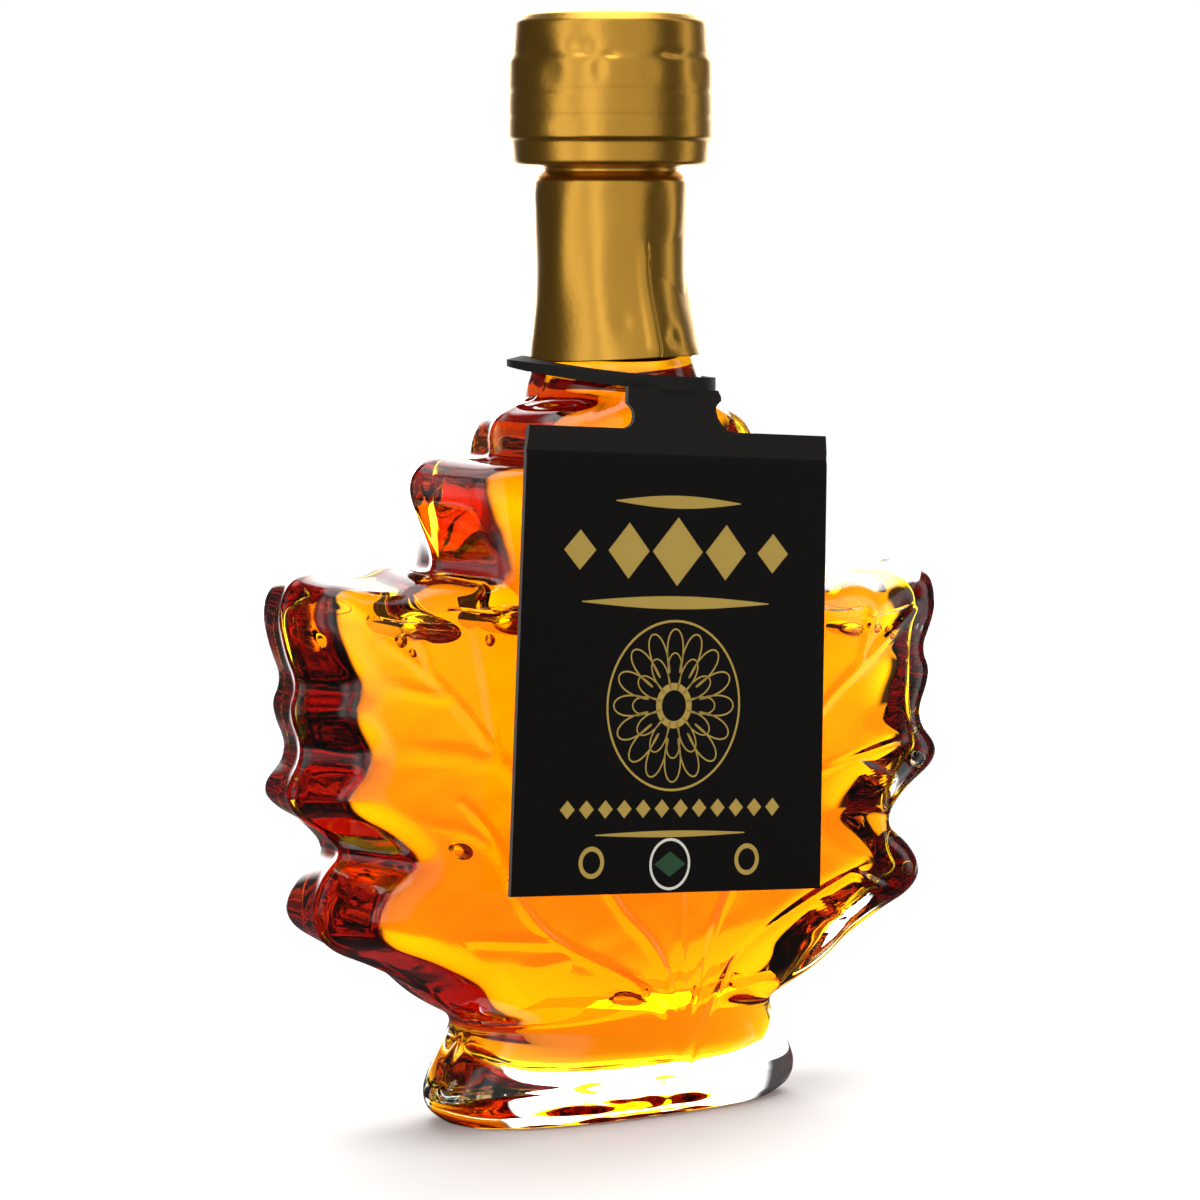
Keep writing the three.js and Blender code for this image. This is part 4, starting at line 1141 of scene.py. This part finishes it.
class BOTTLE_OT_stage(bpy.types.Operator):
    """Makes the floor, the studio light and the camera"""

    bl_idname = "bottle.stage"
    bl_label = "Stage"

    def execute(self, context):
        settings = context.scene.bottle_stage
        turn = np.linspace(0, 2 * np.pi, FLOOR_COLUMNS, endpoint=False)
        radii = settings.floor_radius * np.linspace(0.1, 1, FLOOR_RINGS)[:, None]
        rings = np.stack([radii * np.cos(turn), radii * np.sin(turn), 0 * radii * turn - FLOOR_DROP], -1)
        faces = ring_faces(FLOOR_RINGS, FLOOR_COLUMNS)[:, ::-1].tolist()
        centre = FLOOR_RINGS * FLOOR_COLUMNS
        faces += [[centre, k, (k + 1) % FLOOR_COLUMNS] for k in range(FLOOR_COLUMNS)]
        mesh = bpy.data.meshes.new("floor")
        mesh.from_pydata([*rings.reshape(-1, 3).tolist(), [0, 0, -FLOOR_DROP]], [], faces)
        mesh.materials.append(matt_floor(settings))
        floor = bpy.data.objects.new("floor", mesh)
        context.scene.collection.objects.link(floor)
        studio_world(settings)
        data = bpy.data.cameras.new("camera")
        data.sensor_width = SENSOR_WIDTH
        data.lens = settings.lens
        camera = bpy.data.objects.new("camera", data)
        camera.location = settings.camera_place
        camera.rotation_euler = (math.pi / 2 - settings.camera_pitch, 0, -settings.camera_turn)
        context.scene.collection.objects.link(camera)
        context.scene.camera = camera
        context.scene.view_settings.view_transform = "Standard"
        context.scene.cycles.max_bounces = MOST_BOUNCES
        context.scene.cycles.transmission_bounces = MOST_BOUNCES
        return {"FINISHED"}


class BOTTLE_PT_panel(bpy.types.Panel):
    """Lists the bottle's pieces and their settings"""

    bl_idname = "BOTTLE_PT_panel"
    bl_label = "Syrup Bottle"
    bl_space_type = "VIEW_3D"
    bl_region_type = "UI"
    bl_category = "Syrup Bottle"

    def draw(self, context):
        """One box for each piece: its button and its settings."""
        for operator, group in STEPS:
            box = self.layout.box()
            box.operator(operator)
            settings = getattr(context.scene, group)
            for name in settings.bl_rna.properties.keys():
                if name not in ("rna_type", "name"):
                    box.prop(settings, name)


STEPS = (
    ("bottle.stage", "bottle_stage"),
    ("bottle.glass", "bottle_glass"),
    ("bottle.syrup", "bottle_syrup"),
    ("bottle.capsule", "bottle_capsule"),
    ("bottle.tag", "bottle_tag"),
    ("bottle.tag_print", "bottle_tag"),
)
SETTINGS = {
    "bottle_glass": GlassSettings,
    "bottle_syrup": SyrupSettings,
    "bottle_capsule": CapsuleSettings,
    "bottle_tag": TagSettings,
    "bottle_stage": StageSettings,
}
OPERATORS = (BOTTLE_OT_stage, BOTTLE_OT_glass, BOTTLE_OT_syrup, BOTTLE_OT_capsule, BOTTLE_OT_tag,
             BOTTLE_OT_print)


def register():
    """Registers the settings, the operators and the panel."""
    for name, group in SETTINGS.items():
        bpy.utils.register_class(group)
        setattr(bpy.types.Scene, name, bpy.props.PointerProperty(type=group))
    for operator in OPERATORS:
        bpy.utils.register_class(operator)
    bpy.utils.register_class(BOTTLE_PT_panel)


def unregister():
    """Takes away what register put in, in reverse order."""
    bpy.utils.unregister_class(BOTTLE_PT_panel)
    for operator in reversed(OPERATORS):
        bpy.utils.unregister_class(operator)
    for name, group in SETTINGS.items():
        delattr(bpy.types.Scene, name)
        bpy.utils.unregister_class(group)


def main():
    """Makes every piece with its operator."""
    register()
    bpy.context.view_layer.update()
    for operator, _ in STEPS:
        category, name = operator.split(".")
        getattr(getattr(bpy.ops, category), name)()


if __name__ == "__main__":
    main()
